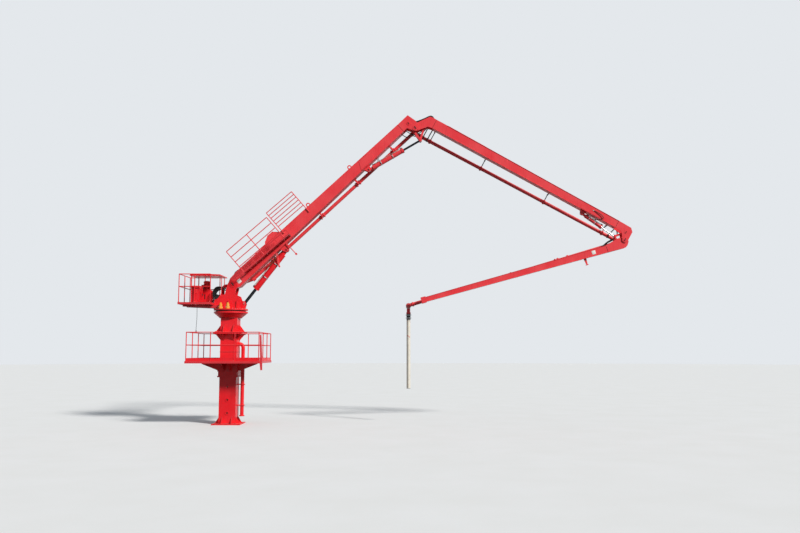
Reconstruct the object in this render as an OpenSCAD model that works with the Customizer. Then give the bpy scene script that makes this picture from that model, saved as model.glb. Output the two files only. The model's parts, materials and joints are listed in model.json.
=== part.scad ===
// Stationary concrete placing boom on a square column, three arms, roll fold.
// Millimetres, +Z up, +X the way the boom points, origin at the centre of the column foot.

/* [Arms] */
// Length of arm 1 between its hinge axes
arm_1 = 9500; // [8500:50:10500]
// Length of arm 2 between its hinge axes
arm_2 = 9400; // [8400:50:10400]
// Length of arm 3 from its hinge to the tip swivel
arm_3 = 8900; // [7900:50:9900]
// Elevation of arm 1 at rest
elev_1 = 41.3; // [20:0.1:70]
// Fold of arm 2 against arm 1 at rest
fold_2 = 69.9; // [50:0.1:90]
// Fold of arm 3 against arm 2 at rest
fold_3 = 135.9; // [110:0.1:150]
// Width of the box of arm 1
w_1 = 420; // [360:5:480]
// Width of the box of arm 2
w_2 = 340; // [300:5:344]
// Width of the box of arm 3
w_3 = 260; // [220:5:264]
// Thickness of the hinge cheeks
cheek = 25; // [20:1:30]
// Play between a pin and its bore, and between seated faces
fit = 0.3; // [0.2:0.05:0.4]
// Side play between links that share a pin
side_gap = 5; // [4:0.5:8]

/* [Column] */
// Width of the square column
col_w = 640; // [560:10:700]
// Height of the bolted column joint
flange_z = 3500; // [3300:10:3700]
// Width of the bolted column joint
flange_w = 1100; // [1000:10:1200]
// Thickness of each plate of a bolted joint
flange_t = 35; // [25:1:45]
// Height of the slewing bearing's underside
ring_z = 4330; // [4250:5:4400]
// Pitch of the climbing pin holes
pin_pitch = 500; // [400:10:600]

/* [Platforms] */
// Top of the service platform floor
plat_z = 2420; // [2300:10:2550]
// Side of the square service platform
plat_w = 2800; // [2400:20:3200]
// Height of the guard rails
rail_h = 1100; // [1000:10:1200]
// Radius of the guard rail tubes
rail_r = 17; // [14:1:24]
// Length of the rear platform
rear_l = 1250; // [1100:10:1400]
// Width of the rear platform
rear_w = 1700; // [1500:10:1900]

/* [Turret] */
// Height of the arm 1 hinge above the slewing bearing's top
foot_h = 1020; // [950:5:1100]
// Offset of the arm 1 hinge ahead of the slewing axis
foot_x = 100; // [50:5:150]
// Gap between the turret's side plates
fork_w = 470; // [460:1:480]
// Thickness of the turret's side plates
plate_t = 30; // [20:1:40]

/* [Concrete line] */
// Outer radius of the concrete pipe
pipe_r = 70; // [60:1:75]
// Inner radius of the concrete pipe
bore_r = 62.5; // [50:0.5:65]
// Bend radius of the pipe elbows
bend_r = 150; // [140:5:160]
// Side offset of the pipes of arm 1 and arm 3
pipe_y = 370; // [365:1:400]
// Length of the end hose
hose_l = 2950; // [2000:50:3200]
// Outer radius of the end hose
hose_r = 76; // [70:1:80]

/* [Hidden] */
$fn = 48;
red = "#d8232f";
dark = "#2a2a2c";
steel = "#8b8d90";
black = "#19191a";
white = "#e6e2d8";
grey = "#6f7274";

ring_t = 50;
deck_z = ring_z + ring_t + fit;
deck_t = 50;
P0 = [foot_x, 0, ring_z + ring_t + foot_h];
ang_1 = elev_1;
ang_2 = elev_1 - fold_2;
ang_3 = ang_2 - fold_3;
P1 = P0 + arm_1*[cos(ang_1), 0, sin(ang_1)];
P2 = P1 + arm_2*[cos(ang_2), 0, sin(ang_2)];
tip_h = 200;
rear_z = deck_z + deck_t + 230;

// Pivots of the two folding linkages, each in the plane of its arm.
A_2 = [arm_1 - 80, 310];
B_2 = [280, 250];
D_2 = [arm_1 - 2500, -40];
rocker_2_l = 800;
coupler_2_l = 575;
A_3 = [arm_2 - 100, 280];
B_3 = [220, 200];
D_3 = [arm_2 - 1950, 145];
rocker_3_l = 450;
coupler_3_l = 455;
E_1 = [530, ring_z + 330];
F_1 = [2450, -320];

function unit(v) = v/norm(v);
function turn(p, a) = [p[0]*cos(a) - p[1]*sin(a), p[0]*sin(a) + p[1]*cos(a)];
// Point at distance ra from a and rb from b, to the right of the line from a to b.
function meet(a, b, ra, rb) =
  let (d = norm(b - a), u = (b - a)/d, k = (ra*ra - rb*rb + d*d)/(2*d), h = sqrt(ra*ra - k*k))
  a + k*u + h*[u[1], -u[0]];
C_2 = meet(A_2, [arm_1, 0] + turn(B_2, -fold_2), rocker_2_l, coupler_2_l);
C_3 = meet(A_3, [arm_2, 0] + turn(B_3, -fold_3), rocker_3_l, coupler_3_l);
// Pivot of the lift rod seen in the plane of arm 1.
E_in_1 = turn(E_1 - [P0[0], P0[2]], -elev_1);

// Half widths of the layers across the boom at each joint.
in_1 = w_1/2 - cheek;
in_2 = w_2/2 - cheek;
in_3 = w_3/2 - cheek;
eye_y = 42;
lip_w = 14;

// Heights of the straight edges of each box, at distance s along its arm.
head_1 = arm_1 - 450;
tail_2 = arm_2 - 550;
tail_3 = arm_3 - 550;
function line(s, a, b) = a[1] + (b[1] - a[1])*(s - a[0])/(b[0] - a[0]);
function top_1(s) = line(s, [500, 300], [head_1, 555]);
function low_1(s) = line(s, [600, -240], [head_1, 190]);
function top_2(s) = line(s, [1100, 700], [tail_2, 551]);
function low_2(s) = line(s, [960, 320], [tail_2, 245]);
function top_3(s) = line(s, [780, 306], [tail_3, 265]);
function low_3(s) = line(s, [780, 20], [tail_3, 80]);

module on_1() { translate(P0) rotate([0, -ang_1, 0]) children(); }
module on_2() { translate(P1) rotate([0, -ang_2, 0]) children(); }
module on_3() { translate(P2) rotate([0, -ang_3, 0]) children(); }

// A plate or bar drawn in the X-Z plane and made thick along Y, from y0 to y1.
module slab(pts, y0, y1) {
  translate([0, y1, 0]) rotate([90, 0, 0]) linear_extrude(y1 - y0) polygon(pts);
}
// Lip of a flange plate from a to b, standing out past both webs; t is its thickness below the line.
module lip(a, b, w, t) {
  slab([a, b, b - [0, t], a - [0, t]], -w/2 - lip_w, w/2 + lip_w);
}
module pin_y(p, r, y0, y1) {
  translate([p[0], y0, p[1]]) rotate([-90, 0, 0]) cylinder(h = y1 - y0, r = r);
}
module both() { children(); mirror([0, 1, 0]) children(); }
module bar(a, b, r) {
  d = b - a;
  l = norm(d);
  translate(a) rotate([0, acos(d[2]/l), atan2(d[1], d[0])]) cylinder(h = l, r = r);
}
// A pipe along points, with true elbows at its bends.
module pipe_run(p, r, bend) {
  n = len(p);
  t = [for (i = [0:n - 1]) i == 0 || i == n - 1 ? 0
    : bend*tan(acos(min(1, unit(p[i] - p[i - 1])*unit(p[i + 1] - p[i])))/2)];
  for (i = [0:n - 2]) {
    u = unit(p[i + 1] - p[i]);
    if (norm(p[i + 1] - p[i]) > t[i] + t[i + 1] + 0.01)
      bar(p[i] + u*t[i], p[i + 1] - u*t[i + 1], r);
  }
  for (i = [1:1:n - 2]) {
    x = unit(p[i] - p[i - 1]);
    d = unit(p[i + 1] - p[i]);
    z = unit(cross(x, d));
    y = cross(z, x);
    s = p[i] - x*t[i];
    multmatrix([[x[0], y[0], z[0], s[0]], [x[1], y[1], z[1], s[1]], [x[2], y[2], z[2], s[2]]])
      translate([0, bend, 0]) rotate([0, 0, -90])
        rotate_extrude(angle = acos(x*d)) translate([bend, 0]) circle(r);
  }
}
// A pipe of one arm from a to b in the arm's plane, at side offset y. Where e0 or e1 is 1 or -1
// the end turns to +Y or -Y round an elbow and stops on the hinge axis with half a swivel joint.
module quarter_bend() {
  translate([0, bend_r, 0]) rotate([0, 0, -90]) rotate_extrude(angle = 90)
    translate([bend_r, 0]) circle(pipe_r);
}
module side(e) {
  if (e > 0) children();
  else mirror([0, 1, 0]) children();
}
module pipe_leg(a, b, y, e0, e1) {
  l = norm(b - a);
  x0 = e0 == 0 ? 0 : bend_r;
  x1 = e1 == 0 ? l : l - bend_r;
  translate([a[0], y, a[1]]) rotate([0, -atan2(b[1] - a[1], b[0] - a[0]), 0]) {
    translate([x0, 0, 0]) rotate([0, 90, 0]) cylinder(h = x1 - x0, r = pipe_r);
    if (e0 != 0) side(e0) translate([bend_r, 0, 0]) mirror([1, 0, 0]) quarter_bend();
    if (e0 != 0) side(e0) pin_y([0, 0], pipe_r + 24, bend_r - 32, bend_r);
    if (e0 != 0) translate([bend_r - 5, 0, 0]) rotate([0, 90, 0]) cylinder(h = 60, r = pipe_r + 20);
    if (e1 != 0) side(e1) translate([l - bend_r, 0, 0]) quarter_bend();
    if (e1 != 0) side(e1) pin_y([l, 0], pipe_r + 24, bend_r - 32, bend_r);
    if (e1 != 0) translate([l - bend_r - 55, 0, 0]) rotate([0, 90, 0])
      cylinder(h = 60, r = pipe_r + 20);
  }
}

// Column
foot_t = 40;
module foot_plate() {
  color(red) difference() {
    union() {
      translate([-flange_w/2, -flange_w/2, 0]) cube([flange_w, flange_w, foot_t]);
      for (a = [0:90:270], y = [-190, 190]) rotate([0, 0, a])
        slab([[col_w/2, foot_t - 1], [flange_w/2 - 60, foot_t - 1], [col_w/2, foot_t + 260]],
          y - 9, y + 9);
    }
    for (x = [-1, 1], y = [-1, 1]) translate([x*(flange_w/2 - 75), y*(flange_w/2 - 75), -1])
      cylinder(h = foot_t + 2, r = 21);
    // notch that lets the riser carry on down the column
    translate([riser_x, 0, -1]) cylinder(h = foot_t + 2, r = pipe_r + 30);
    translate([riser_x, -pipe_r - 30, -1]) cube([300, 2*pipe_r + 60, foot_t + 2]);
  }
}
module column_shaft() {
  color(red) difference() {
    union() {
      translate([-col_w/2, -col_w/2, foot_t]) cube([col_w, col_w, flange_z - flange_t - foot_t]);
      translate([-flange_w/2, -flange_w/2, flange_z - flange_t])
        cube([flange_w, flange_w, flange_t]);
      for (a = [0:90:270], y = [-190, 190]) rotate([0, 0, a])
        slab([[col_w/2 - 1, flange_z - flange_t], [flange_w/2 - 40, flange_z - flange_t],
          [flange_w/2 - 40, flange_z - flange_t - 40], [col_w/2 - 1, flange_z - 300]],
          y - 9, y + 9);
      for (i = [0:2], a = [0, 180]) rotate([0, 0, a])
        translate([0, -col_w/2 + 1, 440 + i*pin_pitch]) rotate([90, 0, 0]) cylinder(h = 13, r = 78);
    }
    for (i = [0:2]) translate([0, -col_w, 440 + i*pin_pitch]) rotate([-90, 0, 0])
      cylinder(h = 2*col_w, r = 36);
  }
}
module column_head() {
  color(red) union() {
    translate([-flange_w/2, -flange_w/2, flange_z]) cube([flange_w, flange_w, flange_t]);
    translate([-col_w/2, -col_w/2, flange_z + flange_t])
      cube([col_w, col_w, ring_z - 240 - flange_z - flange_t]);
    for (a = [0:90:270], y = [-190, 190]) rotate([0, 0, a])
      slab([[col_w/2 - 1, flange_z + flange_t], [flange_w/2 - 40, flange_z + flange_t],
        [flange_w/2 - 40, flange_z + flange_t + 40], [col_w/2 - 1, flange_z + 330]],
        y - 9, y + 9);
    translate([0, 0, ring_z - 240]) cylinder(h = 180, r1 = 430, r2 = 640);
    translate([0, 0, ring_z - 60]) cylinder(h = 60, r = 655);
    translate([0, 0, ring_z]) cylinder(h = ring_t, r = 560);
  }
}
module climbing_collar() {
  z0 = plat_z - 620;
  color(red) difference() {
    union() {
      translate([-col_w/2 - 45, -col_w/2 - 45, z0]) cube([col_w + 90, col_w + 90, 540]);
      for (z = [0, 220, 440]) translate([-col_w/2 - 70, -col_w/2 - 70, z0 + z])
        cube([col_w + 140, col_w + 140, 55]);
      for (a = [0:90:270], y = [-124, 108]) rotate([0, 0, a])
        slab([[col_w/2 + 44, z0 + 540], [plat_w/2 - 320, z0 + 540], [plat_w/2 - 340, z0 + 500],
          [col_w/2 + 69, z0 + 240], [col_w/2 + 44, z0 + 240]], y, y + 16);
    }
    translate([-col_w/2, -col_w/2, z0 - 1]) cube([col_w, col_w, 800]);
  }
}
module service_platform() {
  h = plat_w/2;
  color(red) difference() {
    union() {
      translate([-h, -h, plat_z - 80]) cube([plat_w, plat_w, 80]);
      // leaning end post at the right-hand near corner
      slab([[h - 1, plat_z - 80], [h + 30, plat_z - 330], [h + 95, plat_z - 330], [h + 85, plat_z + 120],
        [h + 40, plat_z + 980], [h - 15, plat_z + 980], [h - 10, plat_z + 700], [h + 15, plat_z + 60],
        [h - 1, plat_z]], -h + 40, -h + 100);
    }
    translate([-col_w/2, -col_w/2, plat_z - 100]) cube([col_w, col_w, 200]);
    for (x = [-h + 60, 140], y = [-h + 60, 140]) translate([x, y, plat_z - 81])
      cube([h - 200, h - 200, 76]);
    translate([riser_x, 0, plat_z - 100]) cylinder(h = 200, r = pipe_r + 12);
  }
}
riser_x = col_w/2 + 190;
module service_railing() {
  h = plat_w/2 - 40;
  color(red) {
    for (a = [0:90:270]) rotate([0, 0, a]) {
      for (z = [rail_h - rail_r, rail_h*0.55]) bar([-h, -h, plat_z + z], [h, -h, plat_z + z], rail_r);
      for (x = [-h, -h/3, h/3]) bar([x, -h, plat_z], [x, -h, plat_z + rail_h - rail_r], rail_r);
      translate([-h, -h - 5, plat_z]) cube([2*h, 10, 120]);
    }
  }
}
module riser_pipe() {
  z1 = flange_z - 420;
  color(red) difference() {
    union() {
      pipe_run([[riser_x, 0, 300], [riser_x, 0, z1], [col_w/2, 0, z1]], pipe_r, bend_r);
      translate([riser_x, 0, 300]) cylinder(h = 40, r = pipe_r + 24);
      translate([col_w/2, 0, z1]) rotate([0, 90, 0]) cylinder(h = 30, r = pipe_r + 35);
      for (z = [700, 1500]) {
        translate([col_w/2, -30, z]) cube([riser_x - col_w/2, 60, 40]);
        translate([riser_x, 0, z]) cylinder(h = 40, r = pipe_r + 20);
      }
    }
    translate([riser_x, 0, 299]) cylinder(h = 121, r = bore_r);
  }
}

// Turret
module slew_deck() {
  color(red) union() {
    translate([0, 0, deck_z]) cylinder(h = deck_t, r = 660);
  }
}
module slew_motors() {
  color("#e0902a") for (a = [-92, -126]) rotate([0, 0, a]) translate([535, 0, deck_z + deck_t]) union() {
    cylinder(h = 70, r = 85);
    cylinder(h = 190, r = 62);
    cylinder(h = 240, r = 34);
  }
}
module turret_frame() {
  z0 = deck_z + deck_t;
  y0 = fork_w/2;
  pts = [[-620, z0], [-600, z0 + 340], [-460, z0 + 420], [-380, z0 + 540], [-200, z0 + 570],
    [P0[0] - 190, P0[2] + 20], [P0[0] - 90, P0[2] + 150], [P0[0] + 90, P0[2] + 150],
    [P0[0] + 180, P0[2] - 40], [200, z0 + 560], [340, z0 + 500], [430, z0 + 250], [430, z0]];
  color(red) union() {
    both() slab(pts, y0, y0 + plate_t);
    both() pin_y([P0[0], P0[2]], 135, y0 + plate_t - 1, y0 + plate_t + 12);
    for (x = [-60, 270]) both() slab([[x, z0], [x + 18, z0], [x + 18, z0 + 330], [x, z0 + 330]],
      y0 + plate_t - 1, y0 + plate_t + 60);
    slab([[-620, z0], [-600, z0 + 340], [-560, z0 + 340], [-580, z0]], -y0, y0);
    slab([[-460, z0], [-460, z0 + 420], [-380, z0 + 540], [-360, z0 + 540], [-420, z0 + 400],
      [-420, z0]], -y0, y0);
    slab([[270, z0], [270, z0 + 420], [300, z0 + 420], [300, z0]], -y0, y0);
    both() slab([[299, z0], [E_1[0] + 20, z0], [E_1[0] + 75, E_1[1] - 40], [E_1[0] + 60, E_1[1] + 60],
      [E_1[0], E_1[1] + 80], [299, E_1[1] + 130]], 62, 92);
    both() pin_y(E_1, 44, 62, 104);
    both() pin_y([P0[0], P0[2]], 69.7, 100, y0 + plate_t + 25);
    pin_y([P0[0], P0[2]], 69.7, -101, 101);
  }
}
drop_x = -480;
module turret_pipe() {
  y1 = pipe_y + bend_r + fit;
  y2 = y1 + bend_r;
  color(red) union() {
    pipe_run([[P0[0], y1, P0[2]], [P0[0], y2, P0[2]], [drop_x, y2, P0[2]], [drop_x, y2, rear_z + 60],
      [drop_x, fork_w/2 + plate_t, rear_z + 60]], pipe_r, bend_r);
    pin_y([P0[0], P0[2]], pipe_r + 24, y1, y1 + 32);
    pin_y([drop_x, rear_z + 60], pipe_r + 35, fork_w/2 + plate_t, fork_w/2 + plate_t + 25);
  }
}
module rear_platform() {
  x0 = -620 - rear_l;
  color(red) difference() {
    translate([x0, -rear_w/2, rear_z - 80]) cube([rear_l, rear_w, 80]);
    for (i = [0:1], j = [-1, 1]) translate([x0 + 50 + i*rear_l/2, j*rear_w/4 - rear_w/4 + 40, rear_z - 81])
      cube([rear_l/2 - 80, rear_w/2 - 80, 70]);
  }
  color(red) both() slab([[x0 + 60, rear_z - 140], [-400, rear_z - 200], [-400, rear_z - 80],
    [x0 + 60, rear_z - 80]], fork_w/2 + plate_t, fork_w/2 + plate_t + 60);
}
module rear_railing() {
  x0 = -620 - rear_l + 30;
  x1 = -640;
  h = rear_w/2 - 30;
  color(red) {
    for (z = [rail_h - rail_r, rail_h*0.55]) {
      bar([x0, -h, rear_z + z], [x0, h, rear_z + z], rail_r);
      both() bar([x0, -h, rear_z + z], [x1, -h, rear_z + z], rail_r);
    }
    for (x = [x0, (x0 + x1)/2, x1]) both() bar([x, -h, rear_z], [x, -h, rear_z + rail_h - rail_r], rail_r);
    bar([x0, 0, rear_z], [x0, 0, rear_z + rail_h - rail_r], rail_r);
  }
}
// Light roof over the hose deck, on four posts
module rear_canopy() {
  z = rear_z + rail_h - 60;
  zt = deck_z + deck_t + 540;
  e0 = [-380, zt];
  e1 = [-200, zt + 30];
  color(red) union() {
    slab([[-1500, z], [-300, z], [-320, z + 45], [-900, z + 70], [-1480, z + 45]], -620, 620);
    for (y = [-560, 560]) bar([-1430, y, rear_z], [-1430, y, z + 5], 20);
    both() slab([[-365, line(-365, e0, e1)], [-305, line(-305, e0, e1)], [-305, zt + 60], [-365, zt + 60]],
      fork_w/2, fork_w/2 + plate_t);
    both() bar([-335, fork_w/2 + plate_t/2, zt + 59], [-335, fork_w/2 + plate_t/2, z + 5], 14);
  }
}
cab_x = -1400;
cab_y = -rear_w/2 + 100;
hinge_p = [cab_x + 300 + fit, cab_y - 11];
module control_cabinet() {
  color(red) difference() {
    union() {
      translate([cab_x, cab_y, rear_z]) cube([300, 560, 640]);
      for (z = [60, 480]) {
        translate([hinge_p[0], hinge_p[1], rear_z + z]) cylinder(h = 40, r = 10);
        translate([hinge_p[0] - 10, hinge_p[1], rear_z + z]) cube([9, 12, 40]);
        translate([hinge_p[0], hinge_p[1], rear_z + z]) cylinder(h = 90, r = 5);
      }
    }
    translate([cab_x + 40, cab_y + 20, rear_z + 40]) cube([300, 520, 560]);
  }
}
module cabinet_door() {
  color(red) difference() {
    union() {
      translate([hinge_p[0], cab_y, rear_z + 20]) cube([22, 560, 600]);
      for (z = [100.3, 520.3]) {
        translate([hinge_p[0], hinge_p[1], rear_z + z]) cylinder(h = 45, r = 10);
        translate([hinge_p[0] + 0.2, hinge_p[1], rear_z + z]) cube([9.8, 12, 45]);
      }
    }
    for (z = [100.3, 520.3]) translate([hinge_p[0], hinge_p[1], rear_z + z - 1]) cylinder(h = 47, r = 5.3);
  }
}
module power_pack() {
  color(red) union() {
    for (x = [-1290, -810]) translate([x, 60, rear_z]) cube([60, 640, 60]);
    slab([[-1300, rear_z + 60], [-740, rear_z + 60], [-740, rear_z + 420], [-800, rear_z + 520],
      [-1240, rear_z + 520], [-1300, rear_z + 420]], 60, 440);
    translate([-1280, 439, rear_z + 60]) cube([500, 240, 400]);
    translate([-1020, 250, rear_z + 519]) cylinder(h = 40, r = 165);
    translate([-1020, 250, rear_z + 540]) cylinder(h = 300, r = 125);
    translate([-1180, 120, rear_z + 519]) cylinder(h = 60, r = 45);
    translate([-1030, 678, rear_z + 260]) rotate([-90, 0, 0]) cylinder(h = 40, r = 170);
  }
}

// Arm 1
eyes = [0.448*arm_1, 0.683*arm_1];
module boom_1_beam() {
  color(red) on_1() difference() {
    union() {
      slab([[-60, -170], [150, -262], [600, -240], [head_1, 190], [head_1, 555], [500, 300],
        [60, 250], [-120, 150]], -w_1/2, w_1/2);
      lip([500, 300], [head_1, 555], w_1, 14);
      lip([600, -226], [head_1, 204], w_1, 14);
      pin_y([0, 0], 180, -w_1/2, w_1/2);
      pin_y([0, 0], 115, -fork_w/2 + fit, fork_w/2 - fit);
      both() slab([[head_1 - 1, 190], [arm_1 - 250, 200], [arm_1 - 110, -60], [arm_1 - 60, -130],
        [arm_1 + 60, -130], [arm_1 + 140, -40], [arm_1 + 200, 180], [arm_1 + 110, 585],
        [head_1 - 1, 555]], in_1, w_1/2);
      both() pin_y([arm_1, 0], 118, w_1/2 - 1, w_1/2 + 10);
      both() pin_y(A_2, 85, w_1/2 - 1, w_1/2 + 10);
      // doubler plates at the foot of folding cylinder 2
      both() slab([[D_2[0] - 260, low_1(D_2[0] - 260) + 30], [D_2[0] + 330, low_1(D_2[0] + 330) + 30],
        [D_2[0] + 330, top_1(D_2[0] + 330) - 50], [D_2[0] - 100, top_1(D_2[0] - 100) - 50]],
        w_1/2 - 1, w_1/2 + 8);
      both() pin_y([D_2[0] + 330, (low_1(D_2[0] + 330) + top_1(D_2[0] + 330))/2 - 10],
        (top_1(D_2[0] + 330) - low_1(D_2[0] + 330))/2 - 40, w_1/2 - 1, w_1/2 + 8);
      // fold rest with its pad
      both() slab([[1930, top_1(1930) - 10], [2000, 455], [2230, 575], [2500, 575], [2740, top_1(2740) - 10]],
        120, 136);
      slab([[2225, 560], [2505, 560], [2505, 585], [2225, 585]], -150, 150);
      slab([[1400, top_1(1400) - 5], [1480, top_1(1480) - 5], [1480, top_1(1480) + 70],
        [1430, top_1(1400) + 70]], -60, 60);
      // two stowage rods under the box on the near side
      bar([2610, -165, low_1(2610) + 30], [2630, -165, -705], 17);
      bar([2070, -165, low_1(2070) + 30], [1790, -165, -640], 17);
      pin_y([2630, -720], 42, -190, -140);
      both() pin_y([arm_1, 0], 60, in_2 - 5, w_1/2 + 22);
      pin_y(A_2, 40, -w_1/2 - 18, w_1/2 + 18);
      both() slab([[D_2[0] - 170, low_1(D_2[0] - 170) + 30], [D_2[0] - 60, D_2[1] - 60],
        [D_2[0], D_2[1] - 75], [D_2[0] + 60, D_2[1] - 60], [D_2[0] + 170, low_1(D_2[0] + 170) + 30]],
        62, 88);
      pin_y(D_2, 36, -100, 100);
      both() slab([[F_1[0] - 200, -120], [F_1[0] - 80, F_1[1] - 60], [F_1[0], F_1[1] - 95],
        [F_1[0] + 80, F_1[1] - 60], [F_1[0] + 200, -100]], 77, 107);
      pin_y(F_1, 45, -122, 122);
      for (s = eyes) {
        pin_y([s, top_1(s) + 80], 88, -14, 14);
        slab([[s - 88, top_1(s) - 10], [s + 88, top_1(s) - 10], [s + 88, top_1(s) + 80],
          [s - 88, top_1(s) + 80]], -14, 14);
      }
    }
    for (s = eyes) pin_y([s, top_1(s) + 80], 48, -40, 40);
    pin_y([0, 0], 70, -400, 400);
  }
}
saddles_1 = [1800, 4400, 6350, arm_1 - 1200];
module boom_1_pipe() {
  color(red) on_1() union() {
    pipe_leg([0, 0], [700, -270], pipe_y, 1, 0);
    pipe_leg([700, -270], [arm_1, 0], pipe_y, 0, 1);
    translate([700, pipe_y, -270]) rotate([0, 90 - atan2(270, arm_1 - 700), 0]) translate([0, 0, -60])
      cylinder(h = 120, r = pipe_r + 20);
    difference() {
      for (s = saddles_1) translate([s - 30, w_1/2, -60 - 0.03*(arm_1 - s)])
        cube([60, pipe_y - w_1/2, 240]);
      slab([[600, low_1(600) - fit], [head_1, low_1(head_1) - fit], [head_1, low_1(head_1) + 14 + fit],
        [600, low_1(600) + 14 + fit]], 0, w_1/2 + lip_w + fit);
    }
    for (s = saddles_1, d = [-75, 75]) translate([s + d - 25, pipe_y, -270*(arm_1 - s - d)/(arm_1 - 700)])
      rotate([0, 90, 0]) cylinder(h = 50, r = pipe_r + 20);
  }
}
module boom_1_walkway() {
  y0 = -w_1/2 - 560;
  color(red) on_1() union() {
    difference() {
      translate([650, y0, -60]) cube([2300, 560, 50]);
      for (i = [0:7]) translate([680 + i*283, y0 + 40, -61]) cube([253, 480, 44]);
    }
    // open fascia along the outer edge
    translate([650, y0, 150]) cube([2300, 25, 40]);
    for (i = [0:8]) translate([650 + i*284.4, y0, -11]) cube([25, 25, 162]);
  }
}
module boom_1_railing() {
  y0 = -w_1/2 - 515;
  y1 = -w_1/2 - lip_w - rail_r - 1;
  color(red) on_1() union() {
    for (h = [250, 500, 750, 1030]) bar([670, y0, h], [2700, y0, h], rail_r);
    for (s = [670, 1685, 2700]) bar([s, y0, -10], [s, y0, 1030], rail_r);
    for (h = [560, 700, 850, 1000, 1140, 1280]) bar([2800, y1, h], [4100, y1, h], rail_r);
    for (s = [2800, 4100]) {
      bar([s, y1, 200], [s, y1, 1280], rail_r);
      translate([s - 25, y1, 200]) cube([50, -w_1/2 - y1, 50]);
    }
  }
}
// A cylinder barrel along +X from its base eye, with its bore open at the gland.
module barrel(l, r, rod, eye, half, neck) {
  difference() {
    union() {
      rotate([0, 90, 0]) translate([0, 0, neck]) cylinder(h = l - neck, r = r);
      rotate([0, 90, 0]) cylinder(h = neck + 1, r = half - 2);
      rotate([0, 90, 0]) translate([0, 0, l - 90]) cylinder(h = 90, r = r + 12);
      pin_y([0, 0], eye, -half, half);
    }
    rotate([0, 90, 0]) translate([0, 0, neck + 60]) cylinder(h = l, r = rod + fit);
  }
}
module rod(l0, l, r, eye, half) {
  union() {
    rotate([0, 90, 0]) translate([0, 0, l0]) cylinder(h = l - l0 - eye*0.6, r = r);
    pin_y([l, 0], eye, -half, half);
  }
}
lift_l = norm(F_1 - E_in_1);
lift_a = atan2(E_in_1[1] - F_1[1], E_in_1[0] - F_1[0]);
module lift_barrel() {
  color(red) on_1() translate([F_1[0], 0, F_1[1]]) rotate([0, -lift_a, 0])
    difference() {
      barrel(1960, 115, 60, 95, 72, 230);
      pin_y([0, 0], 45 + fit, -100, 100);
    }
}
module lift_rod() {
  color(steel) on_1() translate([F_1[0], 0, F_1[1]]) rotate([0, -lift_a, 0])
    rod(900, lift_l, 60, 72, 57);
}

// Linkage between arm 1 and arm 2
fold_2_len = norm(C_2 - D_2);
fold_2_a = atan2(C_2[1] - D_2[1], C_2[0] - D_2[0]);
module fold_2_barrel() {
  color(red) on_1() translate([D_2[0], 0, D_2[1]]) rotate([0, -fold_2_a, 0])
    difference() {
      barrel(1600, 90, 42, 70, 57, 180);
      pin_y([0, 0], 36 + fit, -100, 100);
    }
}
module fold_2_rod() {
  color(dark) on_1() translate([D_2[0], 0, D_2[1]]) rotate([0, -fold_2_a, 0])
    rod(700, fold_2_len, 42, 62, eye_y);
}
module link(a, b, ra, rb, w, y0, y1) {
  l = norm(b - a);
  t = atan2(b[1] - a[1], b[0] - a[0]);
  translate([a[0], 0, a[1]]) rotate([0, -t, 0]) {
    slab([[0, -w], [l, -w], [l, w], [0, w]], y0, y1);
    pin_y([0, 0], ra, y0, y1);
    pin_y([l, 0], rb, y0, y1);
  }
}
cpl_y = eye_y + side_gap;
cpl_t = 26;
rok_y = cpl_y + cpl_t + side_gap;
module rocker_2() {
  color(red) on_1() difference() {
    both() {
      link(A_2, C_2, 72, 66, 42, rok_y, rok_y + 28);
      pin_y(A_2, 60, 0, rok_y + 1);
      pin_y(C_2, 34, rok_y, rok_y + 40);
    }
    pin_y(A_2, 40 + fit, -200, 200);
  }
}
module coupler_2() {
  c = turn(C_2 - [arm_1, 0], fold_2);
  color(red) on_2() difference() {
    both() {
      link(B_2, c, 68, 62, 38, cpl_y, cpl_y + cpl_t);
      pin_y(B_2, 58, 0, cpl_y + 1);
    }
    pin_y(B_2, 36 + fit, -200, 200);
  }
}

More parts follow.
